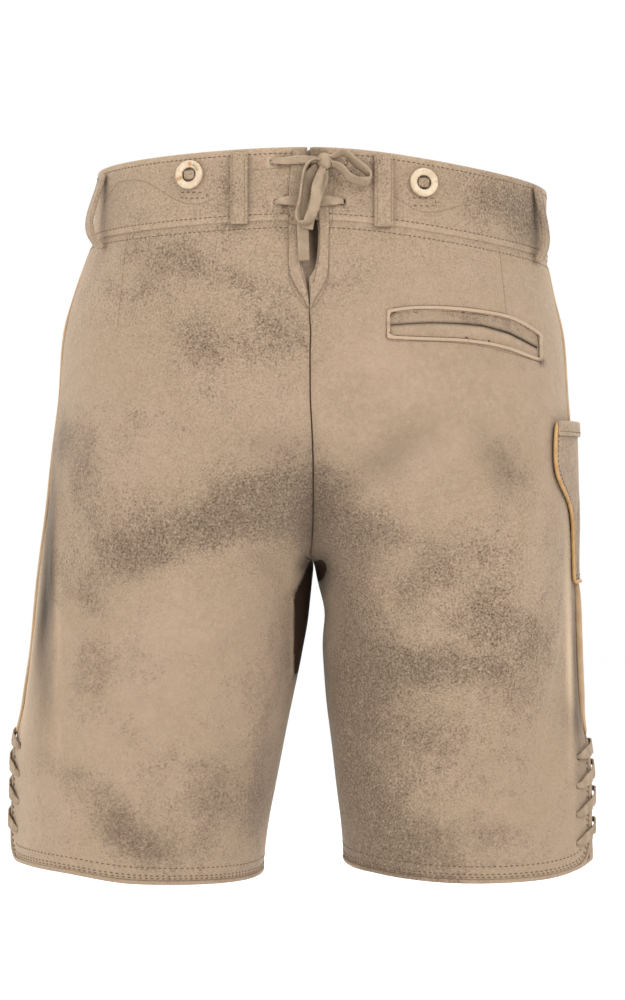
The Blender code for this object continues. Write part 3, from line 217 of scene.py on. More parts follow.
# Rows of stitches set in from a piece's edge. Where it runs names a test in EDGE_TESTS.
# Columns: style, pieces, where, inset
EDGE_ROWS = (
    ("seam", BANDS, "top", 3.4),
    ("seam", BANDS, "bottom", 3.6),
    ("seam", PANELS, "top", 5.2),
    ("hem", PANELS, "hem", 0.9),
    ("hem", PANELS, "hem", 2.8),
    ("hem", PANELS, "low", 8.4),
    ("seam", ("front_flap",), "sides", 2.6),
    ("seam", ("front_flap",), "sides", 7.0),
    ("seam", ("knife_pocket",), "sides", 2.4),
    ("seam", ("knife_pocket_hem",), "bottom", 1.8),
)

# Each style of stitch: its length, pitch and width against the settings, and its thread
STITCH_STYLES = {
    "seam": (1.0, 1.0, 1.0, "thread"),
    "hem": (0.88, 1.13, 1.2, "thread"),
    "line": (1.05, 0.62, 0.62, "fine thread"),
}

# Rows of stitches that follow no edge, by style and face. Each point is where a straight line from
# an eye 2.4 m behind, or in front of, the middle of the garment crosses the plane between back and
# front.
FRONT_WAVE = ((156, -38), (140, -26), (126, -24), (110, -34), (98, -41), (84, -38), (72, -28))
FREE_ROWS = {
    ("line", "back"): (
        (
            (154.5, 3.2), (153.1, 6.1), (145, 16.9), (140.8, 19.7), (131.9, 20.6), (125.2, 19.7),
            (119.6, 17.4), (113.9, 14.1), (107.3, 9.8), (100.7, 6), (95, 3.9), (89.4, 2.9),
            (82.7, 3.2), (77.1, 5.1), (70.4, 8.4), (65.8, 11.7), (60.6, 16.9),
        ),
        ((46.2, 27.1), (40.7, 28.3), (33.3, 28.9), (25.9, 29.5), (19.5, 29.4)),
        (
            (-59.7, 8.9), (-69.9, 2.7), (-80.8, -2.6), (-94.5, -2.5), (-105.5, 0.7), (-116.3, 5.6),
            (-125.9, 8.1), (-135.4, 5.6), (-143.7, 1.3), (-149.2, -2.5), (-154.4, -7.3),
            (-161.4, -15.5),
        ),
        ((137, -20), (140.6, -52), (144.2, -88)),
        ((-138.2, -29.4), (-143.8, -80)),
        (
            (-59.1, -73.8), (-76.2, -72.1), (-94.7, -72), (-113.1, -73.2), (-131.5, -75.9),
            (-143.8, -78.7), (-156.1, -85.5), (-163.8, -91.7), (-169.5, -96.5), (-169.6, -105),
            (-169.5, -112.4),
        ),
        (
            (-55.2, -74.7), (-55.1, -86.5), (-55.8, -97.3), (-76.2, -98.5), (-100.8, -99.3),
            (-125.4, -102.3), (-149.9, -108.5), (-168.3, -114),
        ),
        ((18.4, 22.3), (17.7, -2.6), (17.6, -40.6), (16.3, -56.9), (5, -74.3)),
        (
            (-17.2, 25.8), (-15.9, 18.7), (-15.1, 9), (-15, 0.3), (-14.5, -9.5), (-12.8, -16),
            (-12.2, -23.8), (-12, -45.1), (-10.4, -57.4), (-1.4, -73.8),
        ),
    ),
    ("seam", "back"): (
        ((98.2, 11.5), (81.2, 11.5)),
        ((98.9, 7.6), (79.1, 7.6), (79.2, 11)),
        ((-72.8, 7.4), (-90.7, 7.4)),
        ((-91.2, 6.6), (-91.2, 2.4)),
        ((-91.2, 1.7), (-73.9, 1.7)),
    ),
    ("line", "front"): (FRONT_WAVE, tuple((-u, v) for u, v in FRONT_WAVE)),
}

# ---------------------------------------------------------------- small helpers


def ramp(value, start, end):
    """0 before the start, 1 after the end, and a soft step between."""
    share = np.clip((np.asarray(value, float) - start) / (end - start), 0, 1)
    return share * share * (3 - 2 * share)


def linear(code):
    """A colour written as sRGB hex, in Blender's linear values."""
    parts = [int(code[k:k + 2], 16) / 255 for k in (1, 3, 5)]
    return [c / 12.92 if c <= 0.04045 else ((c + 0.055) / 1.055) ** 2.4 for c in parts]


def settings():
    return bpy.context.scene.lederhosen_looks


def add(tree, kind, inputs=None, **values):
    """Adds a node: inputs are values or other sockets, by name or number."""
    node = tree.nodes.new(kind)
    for name, value in values.items():
        setattr(node, name, value)
    for name, value in (inputs or {}).items():
        if isinstance(value, bpy.types.NodeSocket):
            tree.links.new(value, node.inputs[name])
        else:
            node.inputs[name].default_value = value
    return node


# ---------------------------------------------------------------- materials


def new_material(name):
    """A material with its node tree, its shader, and the place of each point on its object."""
    material = bpy.data.materials.new(name)
    material.use_nodes = True
    tree = material.node_tree
    tree.nodes.clear()
    out = add(tree, "ShaderNodeOutputMaterial")
    shader = add(tree, "ShaderNodeBsdfPrincipled")
    tree.links.new(shader.outputs[0], out.inputs[0])
    return material, tree, shader, add(tree, "ShaderNodeTexCoord").outputs["Object"]


def finish_shader(tree, shader, colour, constants, relief=None):
    """Links the colour and the relief, and sets the other sockets to constants."""
    tree.links.new(colour, shader.inputs["Base Color"])
    for name, value in constants.items():
        shader.inputs[name].default_value = value
    if relief is not None:
        tree.links.new(relief, shader.inputs["Normal"])


def bumped(tree, height, strength, depth_mm, under=None):
    """Relief from a height, on top of the relief under it."""
    inputs = {"Strength": strength, "Distance": depth_mm * MM, "Height": height}
    if under is not None:
        inputs["Normal"] = under
    return add(tree, "ShaderNodeBump", inputs).outputs[0]


def mixed(tree, share, first, second):
    """One colour over another. Each is a socket or a linear colour."""
    node = add(tree, "ShaderNodeMix", data_type="RGBA")
    for number, value in ((0, share), (6, first), (7, second)):
        if isinstance(value, bpy.types.NodeSocket):
            tree.links.new(value, node.inputs[number])
        else:
            node.inputs[number].default_value = value if number == 0 else (*value[:3], 1)
    return node.outputs[2]


def noise_at(tree, place, size_mm, detail=3.0, rough=0.55, distortion=0.0):
    """Noise whose clouds are about size_mm across."""
    node = add(tree, "ShaderNodeTexNoise", {
        "Vector": place, "Scale": 1 / (size_mm * MM), "Detail": detail,
        "Roughness": rough, "Distortion": distortion,
    })
    return node.outputs[0]


def mapped(tree, value, low, high, to_low=0.0, to_high=1.0):
    node = add(tree, "ShaderNodeMapRange", {
        0: value, 1: low, 2: high, 3: to_low, 4: to_high,
    }, interpolation_type="SMOOTHSTEP")
    return node.outputs[0]


def maths(tree, operation, first, second, clamp=False):
    node = add(tree, "ShaderNodeMath", {0: first, 1: second}, operation=operation, use_clamp=clamp)
    return node.outputs[0]


def painted(tree, name):
    """What is written to the mesh under a name."""
    return add(tree, "ShaderNodeAttribute", attribute_name=name).outputs["Fac"]


def make_suede():
    """Washed nubuck suede: buffed on its outer side, so matt, with a short nap that lies in
    clouds, and darkened in soft patches, where it is handled and as painted shade beside folds,
    which show a fine dark grain. Painted shade and painted highlight written to the mesh darken and
    lighten it further."""
    s = settings()
    material, tree, shader, place = new_material("nubuck suede, washed")
    stain_and_shade, strong, painted_shading = (painted(tree, name) for name in ("stain_and_shade", "grain", "painted_shading"))
    cloud = noise_at(tree, place, 48, 5, 0.62, 0.6)
    patch = noise_at(tree, place, 17, 4, 0.6, 0.4)
    nap = noise_at(tree, place, 4.5, 3, 0.6)
    wrinkle = noise_at(tree, place, 3.4, 2, 0.55, 1.6)
    # The real nap is 0.2 to 0.5 mm. It is drawn at 1.4 mm, about as fine as the render shows.
    grain = noise_at(tree, place, 1.4, 2, 0.6)
    # worn: the worn patches with the painted shade among them, and the noise of the nap
    worn = maths(tree, "ADD", stain_and_shade, mapped(tree, cloud, 0.25, 0.75, -0.30, 0.30))
    worn = maths(tree, "ADD", worn, mapped(tree, patch, 0.25, 0.75, -0.16, 0.16))
    worn = maths(tree, "ADD", worn, mapped(tree, wrinkle, 0.3, 0.7, -0.20, 0.20))
    worn = maths(tree, "ADD", worn, mapped(tree, nap, 0.3, 0.7, -0.14, 0.14))
    worn = add(tree, "ShaderNodeMapRange", {0: worn, 1: -0.1, 2: 1.15, 3: 0.0, 4: 1.0}).outputs[0]
    colour = mixed(tree, mapped(tree, cloud, 0.35, 0.68), s.suede, s.suede_rosy)
    colour = mixed(tree, mapped(tree, nap, 0.35, 0.70, 0.0, 0.35), colour, s.suede_pale)
    colour = mixed(tree, mapped(tree, worn, 0.0, 1.0, 0.0, 0.72), colour, s.suede_worn)
    ridges = mapped(tree, wrinkle, 0.56, 0.66, 0.0, 0.32)
    colour = mixed(tree, ridges, colour, s.suede_pale)
    specks = mapped(tree, grain, 0.46, 0.70, 0.0, 1.0)
    shown = maths(tree, "ADD", mapped(tree, worn, 0.0, 0.8, 0.12, 0.66),
                  maths(tree, "MULTIPLY", strong, 0.26))
    colour = mixed(tree, maths(tree, "MULTIPLY", specks, shown), colour, s.suede_grain)
    lights = mapped(tree, grain, 0.46, 0.30, 0.0, 1.0)
    shown = maths(tree, "ADD", 0.42, maths(tree, "MULTIPLY", strong, 0.35))
    colour = mixed(tree, maths(tree, "MULTIPLY", lights, shown), colour, s.suede_pale)
    # Painted shade: a positive value darkens the suede towards deep brown; painted highlight: a
    # negative value lightens it
    dark = maths(tree, "MULTIPLY", painted_shading, 0.9, clamp=True)
    colour = mixed(tree, dark, colour, linear("#2A1D11"))
    pale = maths(tree, "MULTIPLY", painted_shading, -1.0, clamp=True)
    colour = mixed(tree, pale, colour, linear("#C4AC90"))
    relief = bumped(tree, grain, 0.35, 0.5)
    relief = bumped(tree, wrinkle, 0.40, 1.0, relief)
    relief = bumped(tree, patch, 0.5, 3.0, relief)
    finish_shader(tree, shader, colour, {
        "Roughness": 0.93, "Specular IOR Level": 0.18, "Sheen Weight": 0.22,
        "Sheen Roughness": 0.55, "Sheen Tint": (*linear("#E9D9C4"), 1),
    }, relief)
    return material


# Materials that run from a dark to a light colour over clouds, some with a second noise over that.
# A noise is its size in mm, its detail and its roughness. The second one adds between which values
# it shows, how strongly, and its colour. The relief is its strength and its depth in mm.
# Columns: key, name, clouds, dark, light, second, roughness, specular, relief
PLAIN_SPECULAR = 0.5
PLAIN = (
    # Suede in painted deep shade, for the faces between the legs where shade falls: dark and dead
    # matt
    ("soiled", "suede, soiled", (1.4, 2, 0.6), "#2C2018", "#3B2C22", None, 0.97, 0.05, None),
    # The flesh side of the hide, which faces the wearer: rougher, looser and darker
    ("flesh", "suede, flesh side", (2.2, 4, 0.65), "#6B5440", "#8A7057",
     ((40, 3), 0.3, 0.7, 0.5, "#59432F"), 0.97, 0.1, (0.5, 0.8)),
    # The raw cut edge of a suede strip: the pale, unstained middle of the hide
    ("cut", "suede, cut edge", (1.4, 3), "#B89E84", "#D8C3AA", None, 0.95, 0.15, None),
    # Flat lace cut from the same hide, polished a little by the hands that tie it
    ("lace", "suede lace", (9, 4), "#8B7863", "#A08C76",
     ((1.1, 2), 0.5, 0.72, 0.35, "#6E5B49"), 0.85, 0.25, (0.3, 0.4)),
    # Ochre dyed nappa rolled over a cord: smoother than the suede, with a low shine
    ("piping", "nappa piping, ochre", (7, 3), "#A57D48", "#B8925C",
     ((1.2, 2), 0.55, 0.75, 0.3, "#8E6B35"), 0.6, PLAIN_SPECULAR, (0.2, 0.3)),
    # Pale tan leather of the side seam's piping, rolled with its grain side out: smooth and
    # evenly coloured, so that it stands out as a clean line beside the suede
    ("tan", "tan piping leather", (16, 3), "#A98B68", "#B89B78",
     ((1.2, 2), 0.55, 0.75, 0.3, "#7F664A"), 0.7, PLAIN_SPECULAR, (0.2, 0.3)),
    # Smooth white paper that runs on behind the garment: matt, with hardly any tooth
    ("floor", "white paper sweep", (30, 2), "#FFFFFF", "#FCFCFC", None, 0.9, PLAIN_SPECULAR, None),
)


def make_plain(name, clouds, dark, light, second, roughness, specular, relief):
    """A material of PLAIN, or with linear colours in place of hex."""
    material, tree, shader, place = new_material(name)
    dark, light = (linear(c) if isinstance(c, str) else c for c in (dark, light))
    finest = cloud = noise_at(tree, place, *clouds)
    colour = mixed(tree, mapped(tree, cloud, 0.3, 0.7), dark, light)
    if second:
        size, start, end, strength, code = second
        over = noise_at(tree, place, *size)
        colour = mixed(
            tree, mapped(tree, over, start, end, 0.0, strength), colour, linear(code))
        if size[0] < clouds[0]:
            finest = over
    finish_shader(
        tree, shader, colour, {"Roughness": roughness, "Specular IOR Level": specular},
        bumped(tree, finest, *relief) if relief else None)
    return material


def make_horn():
    """Pale stag horn, turned and polished: cream, with soft clouds, fine pores and an amber streak.
    """
    material, tree, shader, place = new_material("stag horn, polished")
    pore = noise_at(tree, place, 1.3, 3)
    cloud = noise_at(tree, place, 6, 3, 0.5, 1.5)
    colour = mixed(tree, mapped(tree, cloud, 0.35, 0.65), linear("#B8A386"), linear("#C5B296"))
    streak = mapped(tree, noise_at(tree, place, 9, 2, 0.5, 2.0), 0.60, 0.70)
    colour = mixed(tree, maths(tree, "MULTIPLY", streak, 0.8), colour, linear("#9A6A34"))
    colour = mixed(tree, mapped(tree, pore, 0.60, 0.72, 0.0, 0.5), colour, linear("#9C8361"))
    for mark, code in (("amber", "#A8682C"), ("olive", "#5E5A34")):
        colour = mixed(tree, painted(tree, mark), colour, linear(code))
    finish_shader(tree, shader, colour, {
        "Roughness": 0.38, "IOR": 1.54, "Subsurface Weight": 0.08,
        "Subsurface Radius": (0.002, 0.0014, 0.0008),
    })
    return material


MATERIALS = {}


def make_materials():
    MATERIALS.update(suede=make_suede(), horn=make_horn())
    for key, *values in PLAIN:
        MATERIALS[key] = make_plain(*values)
    # Waxed linen, laid in short stitches: dark in its twist and paler on its strands
    s = settings()
    for key, name, dark, light in (
        ("thread", "waxed linen thread", s.thread, "#6E5842"),
        ("fine thread", "waxed linen thread, fine", s.fine_thread, "#8C745C"),
    ):
        MATERIALS[key] = make_plain(
            name, (0.8, 2), dark, light, None, 0.75, PLAIN_SPECULAR, None)


# ---------------------------------------------------------------- leather walls


def opened(data):
    """A mesh, to be edited."""
    mesh = bmesh.new()
    mesh.from_mesh(data)
    return mesh


def closed(mesh, data):
    """Writes an edited mesh back."""
    mesh.to_mesh(data)
    mesh.free()
    return data


def placed(name, data):
    """A new object in the scene."""
    obj = bpy.data.objects.new(name, data)
    bpy.context.scene.collection.objects.link(obj)
    return obj


WELD = 0.002  # points of a solid this near are one


def welded(node):
    """A copy of a solid's mesh, its loose triangles joined into faces."""
    mesh = opened(NODES[node].data)
    bmesh.ops.remove_doubles(mesh, verts=mesh.verts[:], dist=WELD * MM)
    bmesh.ops.join_triangles(
        mesh, faces=mesh.faces[:], angle_face_threshold=0.5, angle_shape_threshold=1.2,
    )
    return mesh


SHARP = 48  # the least angle in degrees between a wall's outer side and its rim


def parts_between_sharp_edges(mesh, sharp):
    """Groups of faces that no edge sharper than an angle divides."""
    groups, left = [], set(mesh.faces)
    while left:
        group, queue = [], [left.pop()]
        while queue:
            face = queue.pop()
            group.append(face)
            for edge in face.edges:
                if len(edge.link_faces) == 2 and edge.calc_face_angle(0) < sharp:
                    for other in edge.link_faces:
                        if other in left:
                            left.discard(other)
                            queue.append(other)
        groups.append(group)
    return groups


LEG_REACH, LEG_TOP, LEG_SLANT, LEG_Y = 0.115, -0.02, 0.5, 0.003  # where the legs' middles run


def middle_of_leg(point):
    """The line that a leg stands round, at a point's height."""
    reach = min(LEG_REACH, max(0.0, (LEG_TOP - point.z) * LEG_SLANT))
    return Vector((math.copysign(reach, point.x), LEG_Y, point.z))


def outer_side(mesh):
    """Keeps the outer side of a wall, and takes away its inner side and rim."""
    def outward(group):
        total = 0
        for face in group:
            centre = face.calc_center_median()
            total += face.calc_area() * face.normal.dot(centre - middle_of_leg(centre))
        return total
    groups = parts_between_sharp_edges(mesh, math.radians(SHARP))
    keep = set(max(groups, key=outward))
    bmesh.ops.delete(mesh, geom=[f for f in mesh.faces if f not in keep], context="FACES")
    return mesh


def refined(name, mesh, level):
    """The mesh with Subdivision Surface applied, as an object."""
    obj = placed(name, closed(mesh, bpy.data.meshes.new(name)))
    finer = obj.modifiers.new("Finer", "SUBSURF")
    finer.levels = finer.render_levels = level
    finer.boundary_smooth = "PRESERVE_CORNERS"
    graph = bpy.context.evaluated_depsgraph_get()
    fine = bpy.data.meshes.new_from_object(obj.evaluated_get(graph))
    obj.modifiers.clear()
    obj.data = fine
    fine.name = name
    return obj


def values_of(collection, name, size=3):
    values = np.zeros(len(collection) * size)
    collection.foreach_get(name, values)
    return values.reshape(-1, size)


def write_points(obj, points):
    obj.data.vertices.foreach_set("co", points.ravel())
    obj.data.update()


def write_values(data, name, values):
    """Writes one value for each point to a mesh."""
    layer = data.attributes.new(name, "FLOAT", "POINT")
    layer.data.foreach_set("value", values.astype(np.float32))


ON_SIDE, ON_FACE = (120, 165), (12, 45)  # |x| and |y| between which creases of a face set in
FADE_IN, FADE_OUT = 0.30, 0.38  # how much of a crease's length is its two soft ends
FADE_OVER = -0.12  # and how much of it they reach beyond
STEEP, SLACK = 0.75, 1.3  # how wide its two flanks are


def crease_heights(points, side):
    """How far each point is moved out by the creases of its side, in mm."""
    x, y, z = (points / MM).T
    total = np.zeros(len(points))
    for face in ("back", "front", "side"):
        if face == "side":
            u, near = y, ramp(np.abs(x), *ON_SIDE)
        else:
            u, near = np.abs(x), ramp(y if face == "back" else -y, *ON_FACE)
        for u1, z1, u2, z2, width, depth, bow in CREASES[side, face]:
            run = np.array((u2 - u1, z2 - z1), float)
            length = np.hypot(*run)
            run /= length
            along = (u - u1) * run[0] + (z - z1) * run[1]
            across = -(u - u1) * run[1] + (z - z1) * run[0]
            share = along / length
            across = across - bow * 4 * share * (1 - share)
            fade = ramp(share, FADE_OVER, FADE_IN) * ramp(1 - share, FADE_OVER, FADE_OUT)
            flank = width * np.where(across * depth > 0, STEEP, SLACK)
            total += depth * near * fade * np.exp(-((across / flank) ** 2))
    return total * FOLD


# The slow swell of the leather in two sizes: height in mm, waves a metre, start
SWELL = ((0.9, 17, (0, 0, 0)), (0.45, 43, (5, 2, 9)))


def ripple(points):
    """The slow, uneven swell of soft leather, in mm."""
    return np.array([
        sum(high * noise.noise(Vector(p) * waves + Vector(start)) for high, waves, start in SWELL)
        for p in points
    ])


def seen(points):
    """Where each point is seen from behind, as in FREE_ROWS."""
    share = EYE.y / (EYE.y - points[:, 1])
    return points[:, 0] * share / MM, (EYE.z + (points[:, 2] - EYE.z) * share) / MM


FALL = 1.6  # how softly an oval ends
# Over which Y the "seen" places, and those of the back or the front, fade in from the side
SEEN_FROM, PAINTED_FROM = (-30, -10), (-12, 30)


def ovals_at(points, table):
    """What a table of soft ovals adds up to at each point."""
    x, y, z = (points / MM).T
    total = np.zeros(len(points))
    for face, rows in table.items():
        if face == "seen":
            (place, height), near = seen(points), ramp(y, *SEEN_FROM)
        else:
            place, height, near = x, z, ramp(y if face == "back" else -y, *PAINTED_FROM)
        for x0, z0, long, wide, turn, strength in rows:
            long, wide = long * SPREAD, wide * SPREAD
            c, s = math.cos(math.radians(turn)), math.sin(math.radians(turn))
            along = (place - x0) * c + (height - z0) * s
            across = -(place - x0) * s + (height - z0) * c
            oval = (along / long) ** 2 + (across / wide) ** 2
            total += strength * near * np.exp(-oval / FALL)
    return total


SIDE_SEEN = 100  # beyond this u, a "seen" place lies at a side


def paint(obj, extra=0.0, shading_added=0.0):
    """Writes to the mesh where the suede is worn and grainy, and its painted shade and highlight.
    """
    points = values_of(obj.data.vertices, "co")
    painted_shading = dict(PAINTED_SHADE_AND_LIGHT)
    if obj.name.startswith("front"):  # what is seen at the sides stops at the seams
        painted_shading["seen"] = [row for row in PAINTED_SHADE_AND_LIGHT["seen"] if abs(row[0]) <= SIDE_SEEN]
    write_values(obj.data, "stain_and_shade", ovals_at(points, STAINS_AND_SHADE) + extra)
    write_values(obj.data, "grain", ovals_at(points, GRAIN))
    write_values(obj.data, "painted_shading", ovals_at(points, painted_shading) + shading_added)


def finish_piece(obj, nodes, materials):
    obj.data.materials.clear()
    for name in materials:
        obj.data.materials.append(MATERIALS[name])
    obj.data.shade_smooth()
    if nodes:
        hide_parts(*nodes)
    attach(obj, BODY)
    return obj


def outward_at_border(mesh):
    """For each vertex of an open border, the direction away from the wall."""
    away = {}
    for edge in mesh.edges:
        if not edge.is_boundary:
            continue
        along = (edge.verts[1].co - edge.verts[0].co).normalized()
        middle = (edge.verts[0].co + edge.verts[1].co) / 2
        out = middle - edge.link_faces[0].calc_center_median()
        out -= along * out.dot(along)
        for vert in edge.verts:
            away[vert] = away.get(vert, Vector()) + out.normalized()
    return {vert: out.normalized() for vert, out in away.items()}


ROLL = ((0.6, 0.25), (0.5, 0.9))  # how far out and how far in each step of a rolled edge goes
UNDER_BAND = 2.6  # and how much further at a panel's top edge
BAND_LEVEL = -0.06  # a panel's top edge lies above this


def roll_border(obj, under_band):
    """Rolls each edge of a wall inwards, as a turned seam does, so that neighbours meet. The top
    edge of a panel also runs up behind the waistband."""
    mesh = opened(obj.data)
    away = outward_at_border(mesh)
    normals = {vert: vert.normal.copy() for vert in away}
    for reach, sink in ROLL:
        edges = [e for e in mesh.edges if e.is_boundary]
        made = bmesh.ops.extrude_edge_only(mesh, edges=edges)["geom"]
        new = {g for g in made if isinstance(g, bmesh.types.BMVert)}
        for vert in new:
            old = next(e.other_vert(vert) for e in vert.link_edges if e.other_vert(vert) not in new)
            at_band = under_band and away[old].z > 0.6 and old.co.z > BAND_LEVEL
            more = UNDER_BAND if at_band else 1.0
            away[vert], normals[vert] = away[old], normals[old]
            vert.co += (away[old] * reach * more - normals[old] * sink * more) * MM
    closed(mesh, obj.data)


SKINS = {}
BORDERS = {}


def borders(mesh):
    """Each open border as a list of (place, direction into the wall)."""
    found, left = [], {e for e in mesh.edges if e.is_boundary}
    while left:
        edge = left.pop()
        first, vert = edge.verts
        chain = [(edge, first)]
        while vert is not first:
            ahead = [e for e in vert.link_edges if e in left]
            if not ahead:
                break
            chain.append((ahead[0], vert))
            left.discard(ahead[0])
            vert = ahead[0].other_vert(vert)
        border = []
        for edge, vert in chain:
            along = (edge.other_vert(vert).co - vert.co).normalized()
            middle = (edge.verts[0].co + edge.verts[1].co) / 2
            into = edge.link_faces[0].calc_center_median() - middle
            into = (into - along * into.dot(along)).normalized()
            border.append((middle.copy(), into))
        found.append(border)
    return found


def remember(name, obj):
    """Keeps a wall's outer side and its borders, for the stitching to lie on."""
    mesh = opened(obj.data)
    SKINS[name] = BVHTree.FromBMesh(mesh)
    BORDERS[name] = borders(mesh)
    mesh.free()


def pulled_close(points):
    """Draws the lace in towards the leather that it laces together."""
    moved = points.copy()
    for k, point in enumerate(points):
        near = min(
            (SKINS[piece].find_nearest(Vector(point)) for piece in PANELS), key=lambda hit: hit[3])
        if near[3] > LACE_AWAY * MM:
            away = Vector(point) - near[0]
            moved[k] = near[0] + away * (
                LACE_SPRING + (1 - LACE_SPRING) * LACE_AWAY * MM / near[3])
    return moved


def rubbed_and_lit_edges(node, points):
    """How pale each point of a wall is near its borders: worn, and painted highlight on raised
    edges.
    """
    share = next((share for name, share in RUBBED_AND_LIT.items() if node.startswith(name)), 0)
    total = np.zeros(len(points))
    if share:
        border = np.array([p for line in BORDERS[node] for p, _ in line])
        for k, point in enumerate(points):
            away = np.linalg.norm(border - point, axis=1).min() / MM
            total[k] = share * math.exp(-((away / PALE_EDGE_REACH) ** 2))
    return total


def open_vent(points):
    """Parts the two sides of the back opening a little more towards its lower end."""
    x, y, z = points.T / MM
    way = ramp(-z, -12, 30) * (1 - ramp(-z, 36, 80)) * (1 - ramp(np.abs(x), 2.5, 13)) * (y > 60)
    moved = points.copy()
    moved[:, 0] += np.sign(x) * way * VENT_APART * MM
    return moved


def fill_vent(points):
    """Lifts the top of the gusset, so that it fills the back opening."""
    x, _, z = points.T / MM
    top = ramp(z, 4, 26) * (1 - ramp(np.abs(x), 2, 8))
    moved = points.copy()
    for axis, lift in zip((2, 1), GUSSET_LIFT):
        moved[:, axis] += lift * MM * top
    return moved


def set_legs_apart(points):
    """Moves the top of the gap between the legs to the right, and draws in the right leg."""
    u, v = seen(points)
    both = GAP_MOVED * ramp(-v, 256, 268) * (1 - ramp(-v, 300, 330))
    right = LEG_DRAWN_IN * np.exp(-(((v + 298) / 14) ** 2)) * (u < 0)
    moved = points.copy()
    moved[:, 0] -= (both + right) * (1 - ramp(np.abs(u), 4, 26)) * MM
    return moved


def seam_at(v):
    """How far from the middle the seam down the back is seen, at each height."""
    line = np.array(SEAM)[::-1]
    return np.interp(v, line[:, 1], line[:, 0])


def seam_share(points):
    """1 for each point that lies in the seam down the back, and 0 elsewhere."""
    u, v = seen(points)
    away = np.abs(u - seam_at(v))
    ends = ramp(-v, 73, 79) * (1 - ramp(-v, 263, 269))
    return ends * (away < SEAM_REACH) * (points[:, 1] > 60 * MM)


def drawn_to_seam(points, border):
    """Draws the inner edge of a back panel to the line of the seam down the back."""
    u, v = seen(points)
    side = np.sign(points[:, 0].mean())
    edge_u, edge_v = seen(border)
    near = (np.abs(edge_u) < 7) & (border[:, 1] > 60 * MM)
    order = np.argsort(edge_v[near])
    edge = np.interp(v, edge_v[near][order], edge_u[near][order])
    ends = ramp(-v, 73, 82) * (1 - ramp(-v, 258, 267)) * (points[:, 1] > 60 * MM)
    away = np.abs(u - edge)
    moved = points.copy()
    moved[:, 0] += (seam_at(v) + side * SEAM_APART - edge) * ends * (1 - ramp(away, 0, 12)) * MM
    moved[:, 1] -= SEAM_DIP * np.exp(-((away / 2.2) ** 2)) * ends * MM
    return moved


def nearness_to_border(data):
    """How near each point of a wall is to its border: 1 on it, and 0.8 of that a step away."""
    mesh = opened(data)
    near = np.array([float(v.is_boundary) for v in mesh.verts])
    for _ in range(5):
        spread = near.copy()
        for v in mesh.verts:
            around = [near[e.other_vert(v).index] for e in v.link_edges]
            spread[v.index] = max(near[v.index], 0.8 * max(around))
        near = spread
    mesh.free()
    return near


def creased(points, data, side):
    """The points of a panel, moved out and in by its creases and its swell."""
    near = nearness_to_border(data)
    height = crease_heights(points, side) + ripple(points)
    height *= ramp(-points[:, 2], *FLAT_TOP)
    height *= 1 - near
    normals = values_of(data.vertices, "normal")
    return set_legs_apart(open_vent(points + normals * height[:, None] * MM)), near == 1


def finer_between_legs(obj):
    """Cuts a panel's faces finer between the legs, so that the painted shade there has a clean
    edge.
    """
    mesh = opened(obj.data)
    reach, low, high = (value * MM for value in BETWEEN_LEGS)
    near = {v for v in mesh.verts if abs(v.co.x) < reach and low < v.co.z < high}
    edges = [e for e in mesh.edges if e.verts[0] in near and e.verts[1] in near]
    bmesh.ops.subdivide_edges(mesh, edges=edges, cuts=2, use_grid_fill=True)
    closed(mesh, obj.data)


def gusset_shade(points):
    """The painted shade on the gusset, in the groove down its middle."""
    u, v = seen(points)
    return 0.85 * np.exp(-(((u + 2.2) / 4.0) ** 2)) * (1 - ramp(-v, 30, 54))


def leather_wall(node, thickness, side=None, extra=0.0):
    """A wall of leather on a solid's form, with its creases, worn places, painted shade and
    thickness.
    """
    obj = refined(node + "_leather", outer_side(welded(node)), 2)
    solid_points = points = values_of(obj.data.vertices, "co")
    if side is not None:
        points, at_border = creased(points, obj.data, side)
    if node.startswith("back"):
        points = drawn_to_seam(points, solid_points[at_border])
    if node == "vent_gusset":
        points = fill_vent(points)
    write_points(obj, points)
    remember(node, obj)
    count = len(points)
    roll_border(obj, side is not None)
    if side is not None:
        finer_between_legs(obj)
    points = values_of(obj.data.vertices, "co")
    # Painted shade for the gusset's groove, the inside of the left leg and the groove of the back
    # seam
    shading_added = 0.0
    if node == "vent_gusset":
        shading_added = gusset_shade(points)
    if side == LEFT:
        shading_added = inside_shade(points)
    # Painted shade along the groove of the seam down the back
    if node.startswith("back"):
        rolled = np.arange(len(points)) >= count
        shading_added = shading_added + SEAM_DARK * seam_share(points) * rolled
    paint(obj, extra, shading_added - rubbed_and_lit_edges(node, points))
    wall = obj.modifiers.new("Thickness", "SOLIDIFY")
    wall.thickness = thickness * MM
    wall.offset = -1.0
    wall.material_offset = wall.material_offset_rim = 1
    # The third material is suede in painted deep shade, for the faces between the legs
    finish_piece(obj, [node], ["suede", "flesh", "soiled"][:2 if side is None else 3])
    if side is not None:
        give_deep_shade(obj, points)
    return obj


def give_deep_shade(obj, points):
    """Gives the faces between the legs that are painted dark enough the suede in painted deep
    shade.
    """
    soiled = values_of(obj.data.attributes["painted_shading"].data, "value", 1)[:, 0] > DEEP_SHADE
    soiled &= np.abs(points[:, 0]) < DEEP_SHADE_REACH * MM
    for face in obj.data.polygons:
        if all(soiled[k] for k in face.vertices):
            face.material_index = 2


